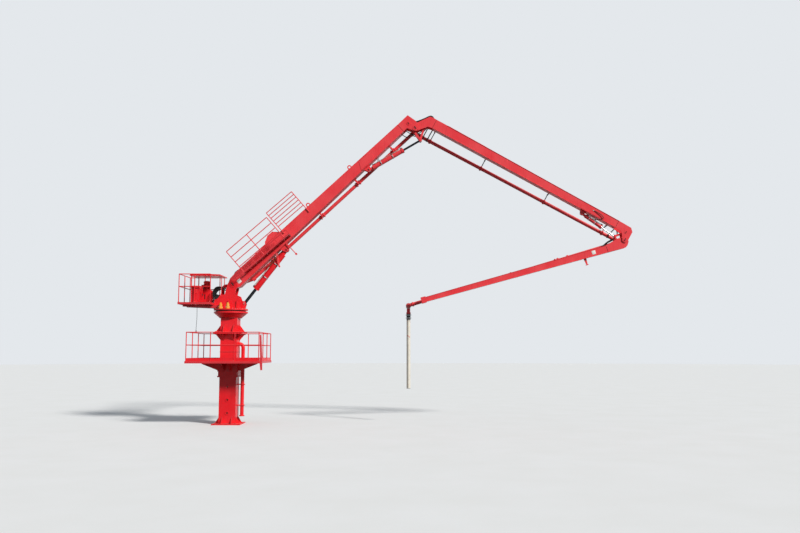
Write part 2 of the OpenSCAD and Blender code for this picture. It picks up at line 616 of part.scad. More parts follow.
// Arm 2
module boom_2_beam() {
  color(red) on_2() difference() {
    union() {
      slab([[600, 706], [1100, 700], [tail_2, 551], [tail_2, 245], [960, 320], [600, 320]], -w_2/2, w_2/2);
      lip([1100, 700], [tail_2, 551], w_2, 12);
      lip([960, 332], [tail_2, 257], w_2, 12);
      slab([[1100, 699], [2820, top_2(2820) - 1], [2820, top_2(2820) + 14], [1100, 714]],
        -w_2/2 + 20, w_2/2 - 20);
      both() slab([[-110, 130], [300, 690], [420, 712], [601, 706], [601, 320], [420, 290], [120, -60],
        [-60, -120], [-130, -20]], in_2, w_2/2);
      both() pin_y([0, 0], 135, in_2, w_2/2);
      both() pin_y([0, 0], 100, w_2/2 - 1, in_1 - fit);
      pin_y(B_2, 36, -in_2 - 1, in_2 + 1);
      both() slab([[tail_2 - 1, 551], [arm_2, 530], [arm_2 + 120, 400], [arm_2 + 120, 20], [arm_2 + 80, -100],
        [arm_2, -125], [arm_2 - 80, -100], [arm_2 - 130, 0], [arm_2 - 250, 200],
        [tail_2 - 1, 245]], in_2, w_2/2);
      both() pin_y([arm_2, 0], 95, w_2/2 - 1, w_2/2 + 8);
      both() pin_y(A_3, 75, w_2/2 - 1, w_2/2 + 8);
      both() slab([[D_3[0] - 220, low_2(D_3[0] - 220) + 25], [D_3[0] + 750, low_2(D_3[0] + 750) + 25],
        [D_3[0] + 750, top_2(D_3[0] + 750) - 70], [D_3[0] - 60, top_2(D_3[0] - 60) - 70]],
        w_2/2 - 1, w_2/2 + 7);
      both() pin_y([D_3[0] + 750, (low_2(D_3[0] + 750) + top_2(D_3[0] + 750) - 45)/2],
        (top_2(D_3[0] + 750) - low_2(D_3[0] + 750) - 95)/2, w_2/2 - 1, w_2/2 + 7);
      both() pin_y([arm_2, 0], 50, in_3 - 5, w_2/2 + 18);
      pin_y(A_3, 35, -w_2/2 - 15, w_2/2 + 15);
      both() slab([[D_3[0] - 140, low_2(D_3[0] - 140) + 20], [D_3[0] - 50, D_3[1] - 45],
        [D_3[0], D_3[1] - 60], [D_3[0] + 50, D_3[1] - 45], [D_3[0] + 140, low_2(D_3[0] + 140) + 20]],
        55, 78);
      pin_y(D_3, 30, -88, 88);
    }
    pin_y([0, 0], 60 + fit, -400, 400);
  }
}
function hang_2(s) = s < 960 ? 400 : low_2(s) + 40;
module boom_2_pipe() {
  y2 = pipe_y + 2*bend_r + fit;
  color(red) on_2() union() {
    pipe_leg([0, 0], [arm_2, 0], y2, -1, -1);
    for (s = [700, 3050, 5950, arm_2 - 800]) {
      translate([s - 25, w_2/2, hang_2(s)]) cube([50, y2 - w_2/2 + 25, 40]);
      translate([s, y2, 0]) cylinder(h = hang_2(s) + 20, r = 18);
      translate([s - 40, y2, 0]) rotate([0, 90, 0]) cylinder(h = 80, r = pipe_r + 20);
    }
  }
}
fold_3_len = norm(C_3 - D_3);
fold_3_a = atan2(C_3[1] - D_3[1], C_3[0] - D_3[0]);
module fold_3_barrel() {
  color(red) on_2() translate([D_3[0], 0, D_3[1]]) rotate([0, -fold_3_a, 0])
    difference() {
      barrel(950, 70, 36, 60, 50, 150);
      pin_y([0, 0], 30 + fit, -100, 100);
    }
}
module fold_3_rod() {
  color(steel) on_2() translate([D_3[0], 0, D_3[1]]) rotate([0, -fold_3_a, 0])
    rod(420, fold_3_len, 36, 52, eye_3_y);
}
eye_3_y = 38;
c3_y = eye_3_y + side_gap;
r3_y = c3_y + 20 + side_gap;
module rocker_3() {
  color(red) on_2() difference() {
    both() {
      link(A_3, C_3, 60, 55, 34, r3_y, r3_y + 20);
      pin_y(A_3, 52, 0, r3_y + 1);
      pin_y(C_3, 28, r3_y, r3_y + 30);
    }
    pin_y(A_3, 35 + fit, -200, 200);
  }
}
module coupler_3() {
  c = turn(C_3 - [arm_2, 0], fold_3);
  color(red) on_3() difference() {
    both() {
      link(B_3, c, 56, 52, 32, c3_y, c3_y + 20);
      pin_y(B_3, 48, 0, c3_y + 1);
    }
    pin_y(B_3, 32 + fit, -200, 200);
  }
}

// Arm 3
module boom_3_beam() {
  color(red) on_3() difference() {
    union() {
      slab([[780, 20], [tail_3, 80], [tail_3, 265], [780, 306]], -w_3/2, w_3/2);
      lip([780, 306], [tail_3, 265], w_3, 10);
      lip([780, 30], [tail_3, 90], w_3, 10);
      both() pin_y([0, 0], 90, w_3/2 - 1, w_3/2 + 8);
      // fold rest post, two hose saddles and the head box
      slab([[1650, top_3(1650) - 5], [1760, top_3(1760) - 5], [1715, 560], [1665, 560]], -14, 14);
      slab([[1640, 545], [1740, 545], [1740, 570], [1640, 570]], -45, 45);
      for (s = [2350, 2750]) slab([[s - 40, low_3(s) + 5], [s + 40, low_3(s) + 5], [s + 25, low_3(s) - 55],
        [s - 25, low_3(s) - 55]], -60, 60);
      slab([[tail_3 - 160, 50], [tail_3 + 25, 50], [tail_3 + 25, 290], [tail_3 - 160, 290]],
        -w_3/2 - 20, w_3/2 + 20);
      both() slab([[-60, -100], [250, -120], [480, -60], [781, 20], [781, 306], [60, 310], [-40, 240],
        [-130, 100]], in_3, w_3/2);
      both() pin_y([0, 0], 125, in_3, w_3/2);
      both() pin_y([0, 0], 85, w_3/2 - 1, in_2 - fit);
      pin_y(B_3, 32, -in_3 - 1, in_3 + 1);
    }
    pin_y([0, 0], 50 + fit, -400, 400);
  }
}
module boom_3_pipe() {
  color(red) on_3() union() {
    pipe_leg([0, 0], [arm_3, tip_h], pipe_y, 1, 1);
    for (s = [1300, 3300, 5300, 7300])
      translate([s - 30, w_3/2, low_3(s) + 12]) cube([60, pipe_y - w_3/2, 50]);
    for (s = [2750, 4600, 6450]) translate([s, pipe_y, tip_h*s/arm_3]) rotate([0, 90, 0])
      cylinder(h = 60, r = pipe_r + 18);
  }
}
TIP = P2 + arm_3*[cos(ang_3), 0, sin(ang_3)] + tip_h*[-sin(ang_3), 0, cos(ang_3)];
module end_elbow() {
  y1 = pipe_y + bend_r + fit;
  color(red) union() {
    pipe_run([TIP + [0, y1, 0], TIP + [0, y1 + bend_r, 0], TIP + [0, y1 + bend_r, -320]],
      pipe_r, bend_r);
    translate(TIP) pin_y([0, 0], pipe_r + 24, y1, y1 + 32);
    translate(TIP + [0, y1 + bend_r, -320]) cylinder(h = 60, r = pipe_r + 20);
  }
}
module end_hose() {
  color(white) translate(TIP + [0, pipe_y + 2*bend_r + fit, -320 - hose_l]) difference() {
    cylinder(h = hose_l, r = hose_r);
    translate([0, 0, -1]) cylinder(h = 201, r = bore_r);
  }
}

foot_plate();
column_shaft();
column_head();
climbing_collar();
service_platform();
service_railing();
riser_pipe();
slew_deck();
slew_motors();
turret_frame();
turret_pipe();
rear_platform();
rear_railing();
rear_canopy();
control_cabinet();
cabinet_door();
power_pack();
boom_1_beam();
boom_1_pipe();
boom_1_walkway();
boom_1_railing();
lift_barrel();
lift_rod();
fold_2_barrel();
fold_2_rod();
rocker_2();
coupler_2();
boom_2_beam();
boom_2_pipe();
fold_3_barrel();
fold_3_rod();
rocker_3();
coupler_3();
boom_3_beam();
boom_3_pipe();
end_elbow();
end_hose();
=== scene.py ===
# %% [markdown]
# A stationary concrete placing boom. A square steel column carries a turret, and three box arms fold
# over each other and lead a 125 mm concrete line to the hose at the tip. The exact solids come from
# the construction model and stay where they are. This lesson gives them their finishes and adds what
# a fitter adds last: bolts, hydraulic hoses, clamps, keeper plates, weld beads and blank plates.

# %% Load the frame
import bpy
import bmesh
import json
import math
from mathutils import Vector, Matrix


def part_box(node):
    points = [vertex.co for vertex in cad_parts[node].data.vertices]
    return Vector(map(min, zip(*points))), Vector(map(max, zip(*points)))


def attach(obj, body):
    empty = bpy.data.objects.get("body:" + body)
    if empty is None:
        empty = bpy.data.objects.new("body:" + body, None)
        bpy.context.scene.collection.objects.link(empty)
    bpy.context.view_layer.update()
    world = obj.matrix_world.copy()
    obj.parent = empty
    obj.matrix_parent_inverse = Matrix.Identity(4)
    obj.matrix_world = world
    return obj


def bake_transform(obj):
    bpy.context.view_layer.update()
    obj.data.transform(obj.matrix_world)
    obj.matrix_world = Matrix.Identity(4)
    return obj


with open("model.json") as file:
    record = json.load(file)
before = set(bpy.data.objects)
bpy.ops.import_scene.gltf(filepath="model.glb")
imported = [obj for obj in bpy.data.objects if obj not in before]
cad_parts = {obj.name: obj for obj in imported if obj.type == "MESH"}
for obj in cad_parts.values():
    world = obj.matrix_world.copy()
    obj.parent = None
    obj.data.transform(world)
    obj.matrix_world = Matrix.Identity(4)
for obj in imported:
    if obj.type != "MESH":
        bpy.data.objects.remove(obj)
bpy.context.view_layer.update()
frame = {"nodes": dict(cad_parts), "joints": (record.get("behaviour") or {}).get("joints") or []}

# %% [markdown]
# The camera stands where the photographer stood: almost at the height of the service platform, thirty
# metres away and looking slightly up. The column's foot and both arm joints are known points of the
# object, and they fix the camera's place, pitch and focal length.

# %% Camera
def put_in_scene(name, data):
    item = bpy.data.objects.new(name, data)
    bpy.context.scene.collection.objects.link(item)
    return item


camera_data = bpy.data.cameras.new("camera")
camera_data.sensor_width = 36.0
camera_data.lens = 36.0
camera_data.clip_end = 400.0
camera = put_in_scene("camera", camera_data)
camera.location = (6.628, -31.37, 2.765)
camera.rotation_euler = (math.radians(90 + 6.10), 0.0, 0.0)
bpy.context.scene.camera = camera
print("camera at", tuple(round(v, 2) for v in camera.location))

# %% [markdown]
# Colours are written as sRGB hex values, as a paint shop gives them. Shaders work in linear light, so
# one function turns each channel from sRGB to linear. One more function adds a node to a material or
# to a Geometry Nodes tree. It sets the node's options and inputs, and an input that is given another
# node's socket is linked to it. So every recipe below reads from top to bottom.

# %% Colour and node helpers
def linear(hex_code):
    channels = [int(hex_code[i:i + 2], 16) / 255 for i in (0, 2, 4)]
    return (*[c / 12.92 if c <= 0.04045 else ((c + 0.055) / 1.055) ** 2.4 for c in channels], 1.0)


def add(owner, kind, inputs=None, **settings):
    tree = getattr(owner, "node_tree", None) or owner
    node = tree.nodes.new(kind)
    for key, value in settings.items():
        setattr(node, key, value)
    for key, value in (inputs or {}).items():
        if isinstance(value, bpy.types.NodeSocket):
            tree.links.new(value, node.inputs[key])
        else:
            node.inputs[key].default_value = value
    return node


def out(owner, kind, inputs=None, **settings):
    return add(owner, kind, inputs, **settings).outputs[0]


def maths(owner, operation, *values):
    return out(owner, "ShaderNodeMath", dict(enumerate(values)), operation=operation)


def dot(owner, first, second):
    node = add(owner, "ShaderNodeVectorMath", {0: first, 1: second}, operation="DOT_PRODUCT")
    return node.outputs["Value"]


def start_material(name):
    material = bpy.data.materials.new(name)
    material.use_nodes = True
    material.node_tree.nodes.clear()
    return material, add(material, "ShaderNodeTexCoord").outputs["Object"]


def finish_material(material, inputs):
    add(material, "ShaderNodeOutputMaterial", {"Surface": out(material, "ShaderNodeBsdfPrincipled", inputs)})
    return material


def noise(material, place, scale, detail=3.0, roughness=0.55, stretch=(1, 1, 1)):
    spread = out(material, "ShaderNodeMapping", {"Scale": stretch, "Vector": place})
    return out(material, "ShaderNodeTexNoise",
               {"Scale": scale, "Detail": detail, "Roughness": roughness, "Vector": spread})


def remap(material, value, low, high, to_low=0.0, to_high=1.0):
    return out(material, "ShaderNodeMapRange",
               {"Value": value, "From Min": low, "From Max": high, "To Min": to_low, "To Max": to_high})


def blend_colour(material, factor, first, second):
    # inputs 6 and 7 are the colour sockets A and B of the Mix node, output 2 is its colour
    return add(material, "ShaderNodeMix", {0: factor, 6: first, 7: second}, data_type="RGBA").outputs[2]


def bumped(material, height, strength, distance):
    return out(material, "ShaderNodeBump", {"Strength": strength, "Distance": distance, "Height": height})


def facing(material):
    # the surface's direction, and how much of it points up
    normal = add(material, "ShaderNodeNewGeometry").outputs["Normal"]
    return normal, add(material, "ShaderNodeSeparateXYZ", {"Vector": normal}).outputs["Z"]


print("signal red in linear light:", [round(c, 3) for c in linear("D8232F")])

# %% [markdown]
# Nearly every plate here is shot-blasted steel under a two-pack polyurethane enamel, sprayed in one
# signal red. Outdoors such paint fades in broad patches, faces that look up collect pale cement dust,
# rain draws faint streaks down the flanks, and sharp edges lose their paint first. The dark red-brown
# drawn along the edges is partly that wear and partly painted shade, a continuous dark edge line. A
# Bevel node compares the true normal with a rounded one, which finds those edges on any mesh.

# %% Sprayed enamel
def sprayed_enamel(name, colour, faded, dusty=0.35, chips_and_edge_shade=0.75, gloss=0.36, streak="8E1620", black_part=None):
    material, place = start_material(name)
    normal, upward = facing(material)
    patches = remap(material, noise(material, place, 1.4), 0.35, 0.75, 0.0, 0.6)
    base = blend_colour(material, patches, linear(colour), linear(faded))
    # rain streaks run down the flanks, 40 mm wide and half a metre long
    streaks = remap(material, noise(material, place, 1.0, 4.0, 0.6, (24, 24, 1.6)), 0.52, 0.8, 0.0, 0.35)
    base = blend_colour(material, streaks, base, linear(streak))
    # cement dust settles on what looks up
    dust_mask = maths(material, "MULTIPLY", remap(material, upward, 0.25, 0.95, 0.0, dusty),
                      remap(material, noise(material, place, 9.0, 6.0, 0.65), 0.35, 0.7, 0.2, 1.0))
    base = blend_colour(material, dust_mask, base, linear("C9B9AE"))
    # edges lose their paint within about 5 mm; drawn at 9 mm so that it shows. The dark edge colour is partly
    # worn paint and partly painted shade.
    rounded = out(material, "ShaderNodeBevel", {"Radius": 0.009}, samples=4)
    edge = remap(material, dot(material, rounded, normal), 0.985, 0.86, 0.0, 1.0)
    chipped_and_shaded = remap(material, noise(material, place, 38.0, 5.0, 0.7), 0.42, 0.58, 0.0, chips_and_edge_shade)
    base = blend_colour(material, maths(material, "MULTIPLY", edge, chipped_and_shaded), base, linear("4A1A1C"))
    if black_part:
        # a second colour on what stands higher than a plane: the plane's point and its direction
        point, upright = black_part
        start = Vector(point).dot(Vector(upright))
        above = remap(material, dot(material, place, tuple(upright)), start, start + 0.002)
        base = blend_colour(material, above, base, linear("161719"))
    # orange peel of the sprayed film is 2 to 4 mm across, drawn at 9 mm so that it shows
    peel = bumped(material, noise(material, place, 110.0, 2.0, 0.5), 0.12, 0.002)
    rough = remap(material, noise(material, place, 5.0, 4.0), 0.3, 0.75, gloss - 0.06, gloss + 0.16)
    # sun and rain leave the tops dull and take their clear coat
    dull = maths(material, "ADD", rough, remap(material, upward, 0.3, 0.8, 0.0, 0.34))
    coat = remap(material, upward, 0.2, 0.7, 0.06, 0.0)
    return finish_material(material, {"Base Color": base, "Roughness": dull, "Coat Weight": coat,
                                      "Coat Roughness": 0.2, "Specular IOR Level": 0.32, "Normal": peel})


red_enamel = sprayed_enamel("red_sprayed_enamel", "E6141F", "E92D36", 0.25, 0.6)
arm_enamel = sprayed_enamel("sun_faded_red_enamel", "E8343C", "F05458", 0.3, 0.6)
# the weld beads take a dark red that is painted shade: the dark lines along seams and plate edges
shaded_seam_enamel = sprayed_enamel("painted_shade_seam_enamel", "8C141C", "76121A", 0.2, 0.3)
amber_enamel = sprayed_enamel("amber_motor_enamel", "E8962A", "EBAE5A", 0.3, 0.5, 0.36, "A8702A")
white_enamel = sprayed_enamel("white_plate_enamel", "EFEEE8", "E3E1D8", 0.15, 0.3, 0.3, "B9B2A6")
black_enamel = sprayed_enamel("black_bracket_enamel", "141516", "242526", 0.3, 0.5, 0.42, "1A1A1A")
print("enamels:", red_enamel.name, arm_enamel.name, amber_enamel.name, white_enamel.name, black_enamel.name)

# %% [markdown]
# A piston rod has a hard chrome skin: a mirror metal with fine rings left by the grinding wheel. The two
# larger rods are the same chrome with a blue-black base colour, a painted dark reflection of chrome
# that mirrors shade. Both are metals, so all their colour comes from the reflection and the roughness
# decides how sharp it is.

# %% Ground rods, bright and painted dark
def ground_metal(name, colour, stained, rough_low, rough_high):
    material, place = start_material(name)
    # grinding marks are 0.1 mm apart, drawn at 6 mm so that they show
    marks = noise(material, place, 160.0, 3.0, 0.6, (6, 6, 6))
    stains = remap(material, noise(material, place, 7.0, 5.0, 0.65), 0.45, 0.75, 0.0, 0.7)
    base = blend_colour(material, stains, linear(colour), linear(stained))
    rough = remap(material, marks, 0.3, 0.7, rough_low, rough_high)
    return finish_material(material, {"Metallic": 1.0, "Base Color": base, "Roughness": rough,
                                      "Normal": bumped(material, marks, 0.08, 0.001)})


chrome_rod = ground_metal("hard_chrome_rod", "D5D8DB", "B9BCC0", 0.10, 0.24)
# the two larger rods: chrome with a dark base colour, a painted dark reflection
shaded_chrome_rod = ground_metal("shaded_chrome_rod", "2B2E33", "3A3834", 0.20, 0.36)
zinc_steel = ground_metal("zinc_plated_bolt", "B9BAB2", "8F8A78", 0.30, 0.48)
galvanised = ground_metal("hot_dip_galvanised", "A9ADAF", "8B8F91", 0.38, 0.56)
tan_tube = ground_metal("yellow_passivated_tube", "C29A62", "9A7B50", 0.32, 0.5)
print("metals:", chrome_rod.name, shaded_chrome_rod.name, zinc_steel.name)

# %% [markdown]
# Hydraulic hoses have a black rubber cover cured under a wrapped cloth, which leaves a fine band print.
# The rubber is dull, and concrete dust greys it in spots. The end hose is the pale kind with a spiral
# of reinforcement under the cover: its ridges climb round the hose, so the pattern is worked out from
# the height and from the angle round the hose's own axis.

# %% Rubber
def rubber(name, colour, dust, gloss=0.5):
    material, place = start_material(name)
    spots = remap(material, noise(material, place, 30.0, 5.0, 0.7), 0.5, 0.72, 0.0, 0.55)
    base = blend_colour(material, spots, linear(colour), linear(dust))
    # the cloth print is 1 mm across, drawn at 4 mm so that it shows
    cloth_print = bumped(material, noise(material, place, 250.0, 2.0, 0.5), 0.25, 0.001)
    rough = remap(material, spots, 0.0, 0.55, gloss, gloss + 0.25)
    return finish_material(material, {"Base Color": base, "Roughness": rough, "Normal": cloth_print,
                                      "Specular IOR Level": 0.4})


hose_low, hose_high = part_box("end_hose")
hose_centre = ((hose_low.x + hose_high.x) / 2, (hose_low.y + hose_high.y) / 2)


def spiral_rubber(name, colour, splash, centre, pitch=0.045):
    material, place = start_material(name)
    centred = out(material, "ShaderNodeMapping", {"Location": (-centre[0], -centre[1], 0.0), "Vector": place})
    parts = add(material, "ShaderNodeSeparateXYZ", {"Vector": centred}).outputs
    angle = maths(material, "ARCTAN2", parts["Y"], parts["X"])
    # one turn of the reinforcement climbs by the pitch, in metres
    climb = maths(material, "MULTIPLY", parts["Z"], 2 * math.pi / pitch)
    ridge = maths(material, "SINE", maths(material, "ADD", climb, angle))
    # the grooves between the ridges are coloured darker: painted shade
    shaded_valley = remap(material, ridge, -0.9, -0.3, 0.55, 0.0)
    base = blend_colour(material, shaded_valley, linear(colour), linear("B5AC9C"))
    scuffs = remap(material, noise(material, place, 14.0, 6.0, 0.7), 0.56, 0.66, 0.0, 0.75)
    base = blend_colour(material, scuffs, base, linear("B9B2A6"))
    # splashes of the boom's own red, a few centimetres across
    flecks = remap(material, noise(material, place, 11.0, 2.0, 0.4, (1, 1, 0.5)), 0.70, 0.74, 0.0, 0.8)
    base = blend_colour(material, flecks, base, linear(splash))
    return finish_material(material, {"Base Color": base, "Roughness": 0.6, "Specular IOR Level": 0.35,
                                      "Normal": bumped(material, ridge, 0.7, 0.004)})


black_rubber = rubber("black_hydraulic_hose", "0C0D0E", "3C3A37")
cable_rubber = rubber("pendant_cable_sheath", "1C1D1F", "55524D", 0.42)
cream_hose = spiral_rubber("cream_spiral_hose", "EAE4D6", "C9303A", hose_centre)
print("end hose axis at", [round(v, 3) for v in hose_centre])

# %% [markdown]
# Every fitting sits on an arm, so its place is written in that arm's own coordinates: the distance
# along the arm from its hinge, the height above the hinge axis and the side offset. One function turns
# these into the frame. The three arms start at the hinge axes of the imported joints.

# %% Arm coordinates
UP, DOWN, EAST, NEAR, FAR = (0, 0, 1), (0, 0, -1), (1, 0, 0), (0, -1, 0), (0, 1, 0)
hinges = {joint["name"]: joint["pos_m"] for joint in frame["joints"] if "pos_m" in joint}
arms = {1: (Vector(hinges["boom_1_lift"]), math.radians(41.3)),
        2: (Vector(hinges["boom_2_fold"]), math.radians(-28.6)),
        3: (Vector(hinges["boom_3_fold"]), math.radians(-164.5))}


def along(arm, run, rise, side=0.0):
    root, angle = arms[arm]
    return root + Vector((run * math.cos(angle) - rise * math.sin(angle), side,
                          run * math.sin(angle) + rise * math.cos(angle)))


def heading(arm, run, rise):
    return (along(arm, run, rise) - arms[arm][0]).normalized()


def trace(*stops):
    # a route through stops, each an arm with its run, rise and side
    return [along(*stop) for stop in stops]


def on_circle(radius, angle, height=0.0):
    return Vector((radius * math.cos(angle), radius * math.sin(angle), height))


for arm in arms:
    print("arm", arm, "starts at", [round(v, 3) for v in arms[arm][0]])

# %% [markdown]
# The CAD nodes keep their shape and take these finishes through their material slots. Almost all of the
# machine is red. The arms stand in the open all year, so their red has faded more than that of the
# column and the turret. The piston rods, drive motors and end hose are the exceptions.

# %% Dress the exact solids
ON_ARMS = ("boom_", "fold_", "rocker_", "coupler_", "end_elbow")
# the rods that hang arm 2's pipe are black, its clamps and the pipe are red
hung_pipe = sprayed_enamel("red_pipe_on_black_rods", "E8343C", "F05458", 0.3, 0.6,
                           black_part=(along(2, 0, 0.10), along(2, 0, 1) - along(2, 0, 0)))
special = {"slew_motors": amber_enamel, "end_hose": cream_hose, "boom_2_pipe": hung_pipe,
           "lift_rod": shaded_chrome_rod, "fold_2_rod": shaded_chrome_rod, "fold_3_rod": chrome_rod}
for name, node in frame["nodes"].items():
    usual = arm_enamel if name.startswith(ON_ARMS) else red_enamel
    node.data.materials.clear()
    node.data.materials.append(special.get(name, usual))
print("dressed", len(frame["nodes"]), "nodes,", len(special), "of them not red")

# %% [markdown]
# Plain light, so that a colour renders about as it is written: a pale even sky and one broad sun from
# the upper right in front, where the photograph's shadows say it stood. The sky is white for the
# camera, for reflections and through glass only; for lighting it is dimmer. The floor is pale to the
# camera too, and greyer for the light that bounces off it, so undersides stay dark as outdoors.

# %% Sky, sun and floor
def seen_directly(owner):
    path = add(owner, "ShaderNodeLightPath").outputs
    first = maths(owner, "MAXIMUM", path["Is Camera Ray"], path["Is Glossy Ray"])
    return maths(owner, "MAXIMUM", first, path["Is Transmission Ray"])


world = bpy.data.worlds.new("plain_sky")
world.use_nodes = True
world.node_tree.nodes.clear()
bpy.context.scene.world = world
light_sky = out(world, "ShaderNodeBackground", {"Color": linear("DDE6F0"), "Strength": 0.38})
shown_sky = out(world, "ShaderNodeBackground", {"Color": linear("E4E8EC"), "Strength": 1.0})
either = out(world, "ShaderNodeMixShader", {0: seen_directly(world), 1: light_sky, 2: shown_sky})
add(world, "ShaderNodeOutputWorld", {"Surface": either})

sun_data = bpy.data.lights.new("broad_sun", "SUN")
sun_data.energy = 3.9
sun_data.angle = math.radians(9)
sun_data.color = (1.0, 0.975, 0.94)
sun = put_in_scene("broad_sun", sun_data)
sun.rotation_euler = Vector((1.10, -1.00, 0.95)).to_track_quat("Z", "Y").to_euler()

FLOOR_RADIUS, FLOOR_SIDES, FLOOR_MIDDLE = 170, 96, Vector((6, 0, 0))
floor_mesh = bpy.data.meshes.new("pale_floor")
rim = [on_circle(FLOOR_RADIUS, a * math.tau / FLOOR_SIDES) + FLOOR_MIDDLE for a in range(FLOOR_SIDES)]
floor_mesh.from_pydata(rim, [], [list(range(FLOOR_SIDES))])
floor = put_in_scene("pale_floor", floor_mesh)
pale_screed, floor_place = start_material("pale_screed_floor")
mottle = remap(pale_screed, noise(pale_screed, floor_place, 0.6, 4.0), 0.3, 0.7)
pale = blend_colour(pale_screed, mottle, linear("E6E7E6"), linear("E9EAEA"))
bounced = blend_colour(pale_screed, seen_directly(pale_screed), linear("3C3C3B"), pale)
finish_material(pale_screed, {"Base Color": bounced, "Roughness": 0.9, "Specular IOR Level": 0.1})
floor_mesh.materials.append(pale_screed)
bpy.context.scene.view_settings.view_transform = "Standard"
print("sun", sun_data.energy, "floor points", len(rim))

# %% [markdown]
# Bolts, clamps, hoses and weld beads repeat or follow a path, so Geometry Nodes make them. Each tree is
# built here with named inputs. It grows on a small seed mesh: loose points that carry two directions,
# or strings of edges. The result is taken as a plain mesh and the modifier goes away.

# %% Geometry Nodes helpers
SOCKETS = {float: "NodeSocketFloat", int: "NodeSocketInt"}


def start_tree(name, sizes):
    tree = bpy.data.node_groups.new(name, "GeometryNodeTree")
    new_socket = tree.interface.new_socket
    new_socket("Geometry", in_out="INPUT", socket_type="NodeSocketGeometry")
    for label, value in sizes.items():
        new_socket(label, in_out="INPUT", socket_type=SOCKETS[type(value)]).default_value = value
    new_socket("Finish", in_out="INPUT", socket_type="NodeSocketMaterial")
    new_socket("Geometry", in_out="OUTPUT", socket_type="NodeSocketGeometry")
    return tree, add(tree, "NodeGroupInput").outputs


def finish_tree(tree, inputs, geometry):
    real = out(tree, "GeometryNodeRealizeInstances", {"Geometry": geometry})
    painted = out(tree, "GeometryNodeSetMaterial", {"Geometry": real, "Material": inputs["Finish"]})
    add(tree, "NodeGroupOutput", {"Geometry": painted})


def stand_on_points(tree, inputs, part):
    # the part's Z follows the point's axis and its X the point's side
    axis, side = [out(tree, "GeometryNodeInputNamedAttribute", {"Name": name}, data_type="FLOAT_VECTOR")
                  for name in ("axis", "side")]
    turned = out(tree, "FunctionNodeAxesToRotation", {"Primary Axis": axis, "Secondary Axis": side},
                 primary_axis="Z", secondary_axis="X")
    finish_tree(tree, inputs, out(tree, "GeometryNodeInstanceOnPoints",
                                  {"Points": inputs["Geometry"], "Instance": part, "Rotation": turned}))


def cylinder(tree, sides, radius, depth):
    return out(tree, "GeometryNodeMeshCylinder", {"Vertices": sides, "Radius": radius, "Depth": depth})


def cuboid(tree, **size):
    return out(tree, "GeometryNodeMeshCube", {"Size": vector(tree, **size)})


def vector(tree, **parts):
    return out(tree, "ShaderNodeCombineXYZ", parts)


def moved(tree, geometry, **change):
    # the change is a Translation, a Rotation or a Scale
    return out(tree, "GeometryNodeTransform", {"Geometry": geometry, **change})


def joined(tree, parts):
    node = add(tree, "GeometryNodeJoinGeometry")
    for part in parts:
        tree.links.new(part, node.inputs["Geometry"])
    return node.outputs[0]


def points_seed(name, points):
    seed = bpy.data.meshes.new(name)
    seed.from_pydata([tuple(point) for point, axis, side in points], [], [])
    for label, column in (("axis", 1), ("side", 2)):
        attribute = seed.attributes.new(label, "FLOAT_VECTOR", "POINT")
        attribute.data.foreach_set("vector", [v for row in points for v in row[column]])
    return seed


def routes_seed(name, routes):
    vertices, edges = [], []
    for route in routes:
        first = len(vertices)
        vertices += [tuple(point) for point in route]
        edges += [(first + i, first + i + 1) for i in range(len(route) - 1)]
    seed = bpy.data.meshes.new(name)
    seed.from_pydata(vertices, edges, [])
    return seed


def grow(name, tree, seed, finish, **sizes):
    piece = put_in_scene(name, seed)
    modifier = piece.modifiers.new("grow", "NODES")
    modifier.node_group = tree
    identifiers = {item.name: item.identifier for item in tree.interface.items_tree if item.in_out == "INPUT"}
    modifier[identifiers["Finish"]] = finish
    for label, value in sizes.items():
        modifier[identifiers[label.replace("_", " ").capitalize()]] = value
    evaluated = piece.evaluated_get(bpy.context.evaluated_depsgraph_get())
    plain = bpy.data.meshes.new_from_object(evaluated)
    piece.modifiers.clear()
    piece.data = plain
    plain.name = name
    bpy.data.meshes.remove(seed)
    print(name, len(plain.polygons), "faces")
    return piece


def scatter(name, tree, points, finish, body, **sizes):
    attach(grow(name, tree, points_seed(name + "_spots", points), finish, **sizes), body)


def sweep(name, tree, routes, finish, body, **sizes):
    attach(grow(name, tree, routes_seed(name + "_routes", routes), finish, **sizes), body)


print("helpers ready")

# %% [markdown]
# Fittings that don't repeat are made in mesh code. A block is a cube with its edges bevelled, because
# no sawn or forged block has a knife edge. A turned part is a profile of radii spun round an axis.
# Both are added to one mesh, and that mesh becomes one piece that rides on one body.

# %% Mesh helpers
def add_block(shape, place, size, turn=None, bevel=0.004):
    turned_by = (turn or Matrix.Identity(3)).to_4x4()
    made = bmesh.ops.create_cube(shape, size=1.0, matrix=Matrix.Translation(Vector(place)) @ turned_by
                                 @ Matrix.Diagonal((*size, 1.0)))
    edges = {edge for vertex in made["verts"] for edge in vertex.link_edges}
    bmesh.ops.bevel(shape, geom=list(edges), offset=bevel, segments=2, affect="EDGES", profile=0.5)


def add_turned(shape, profile, foot, axis=UP, sides=28, closed=False):
    # a closed profile comes back to its start and leaves the middle open
    turn = Vector(axis).to_track_quat("Z", "Y").to_matrix()
    rings = [[shape.verts.new(Vector(foot) + turn @ on_circle(radius, a * math.tau / sides, rise))
              for a in range(sides)] for radius, rise in profile]
    for low, high in zip(rings, rings[1:] + rings[:1] if closed else rings[1:]):
        for a in range(sides):
            b = (a + 1) % sides
            shape.faces.new((low[a], low[b], high[b], high[a]))
    if not closed:
        shape.faces.new(rings[0][::-1])
        shape.faces.new(rings[-1])


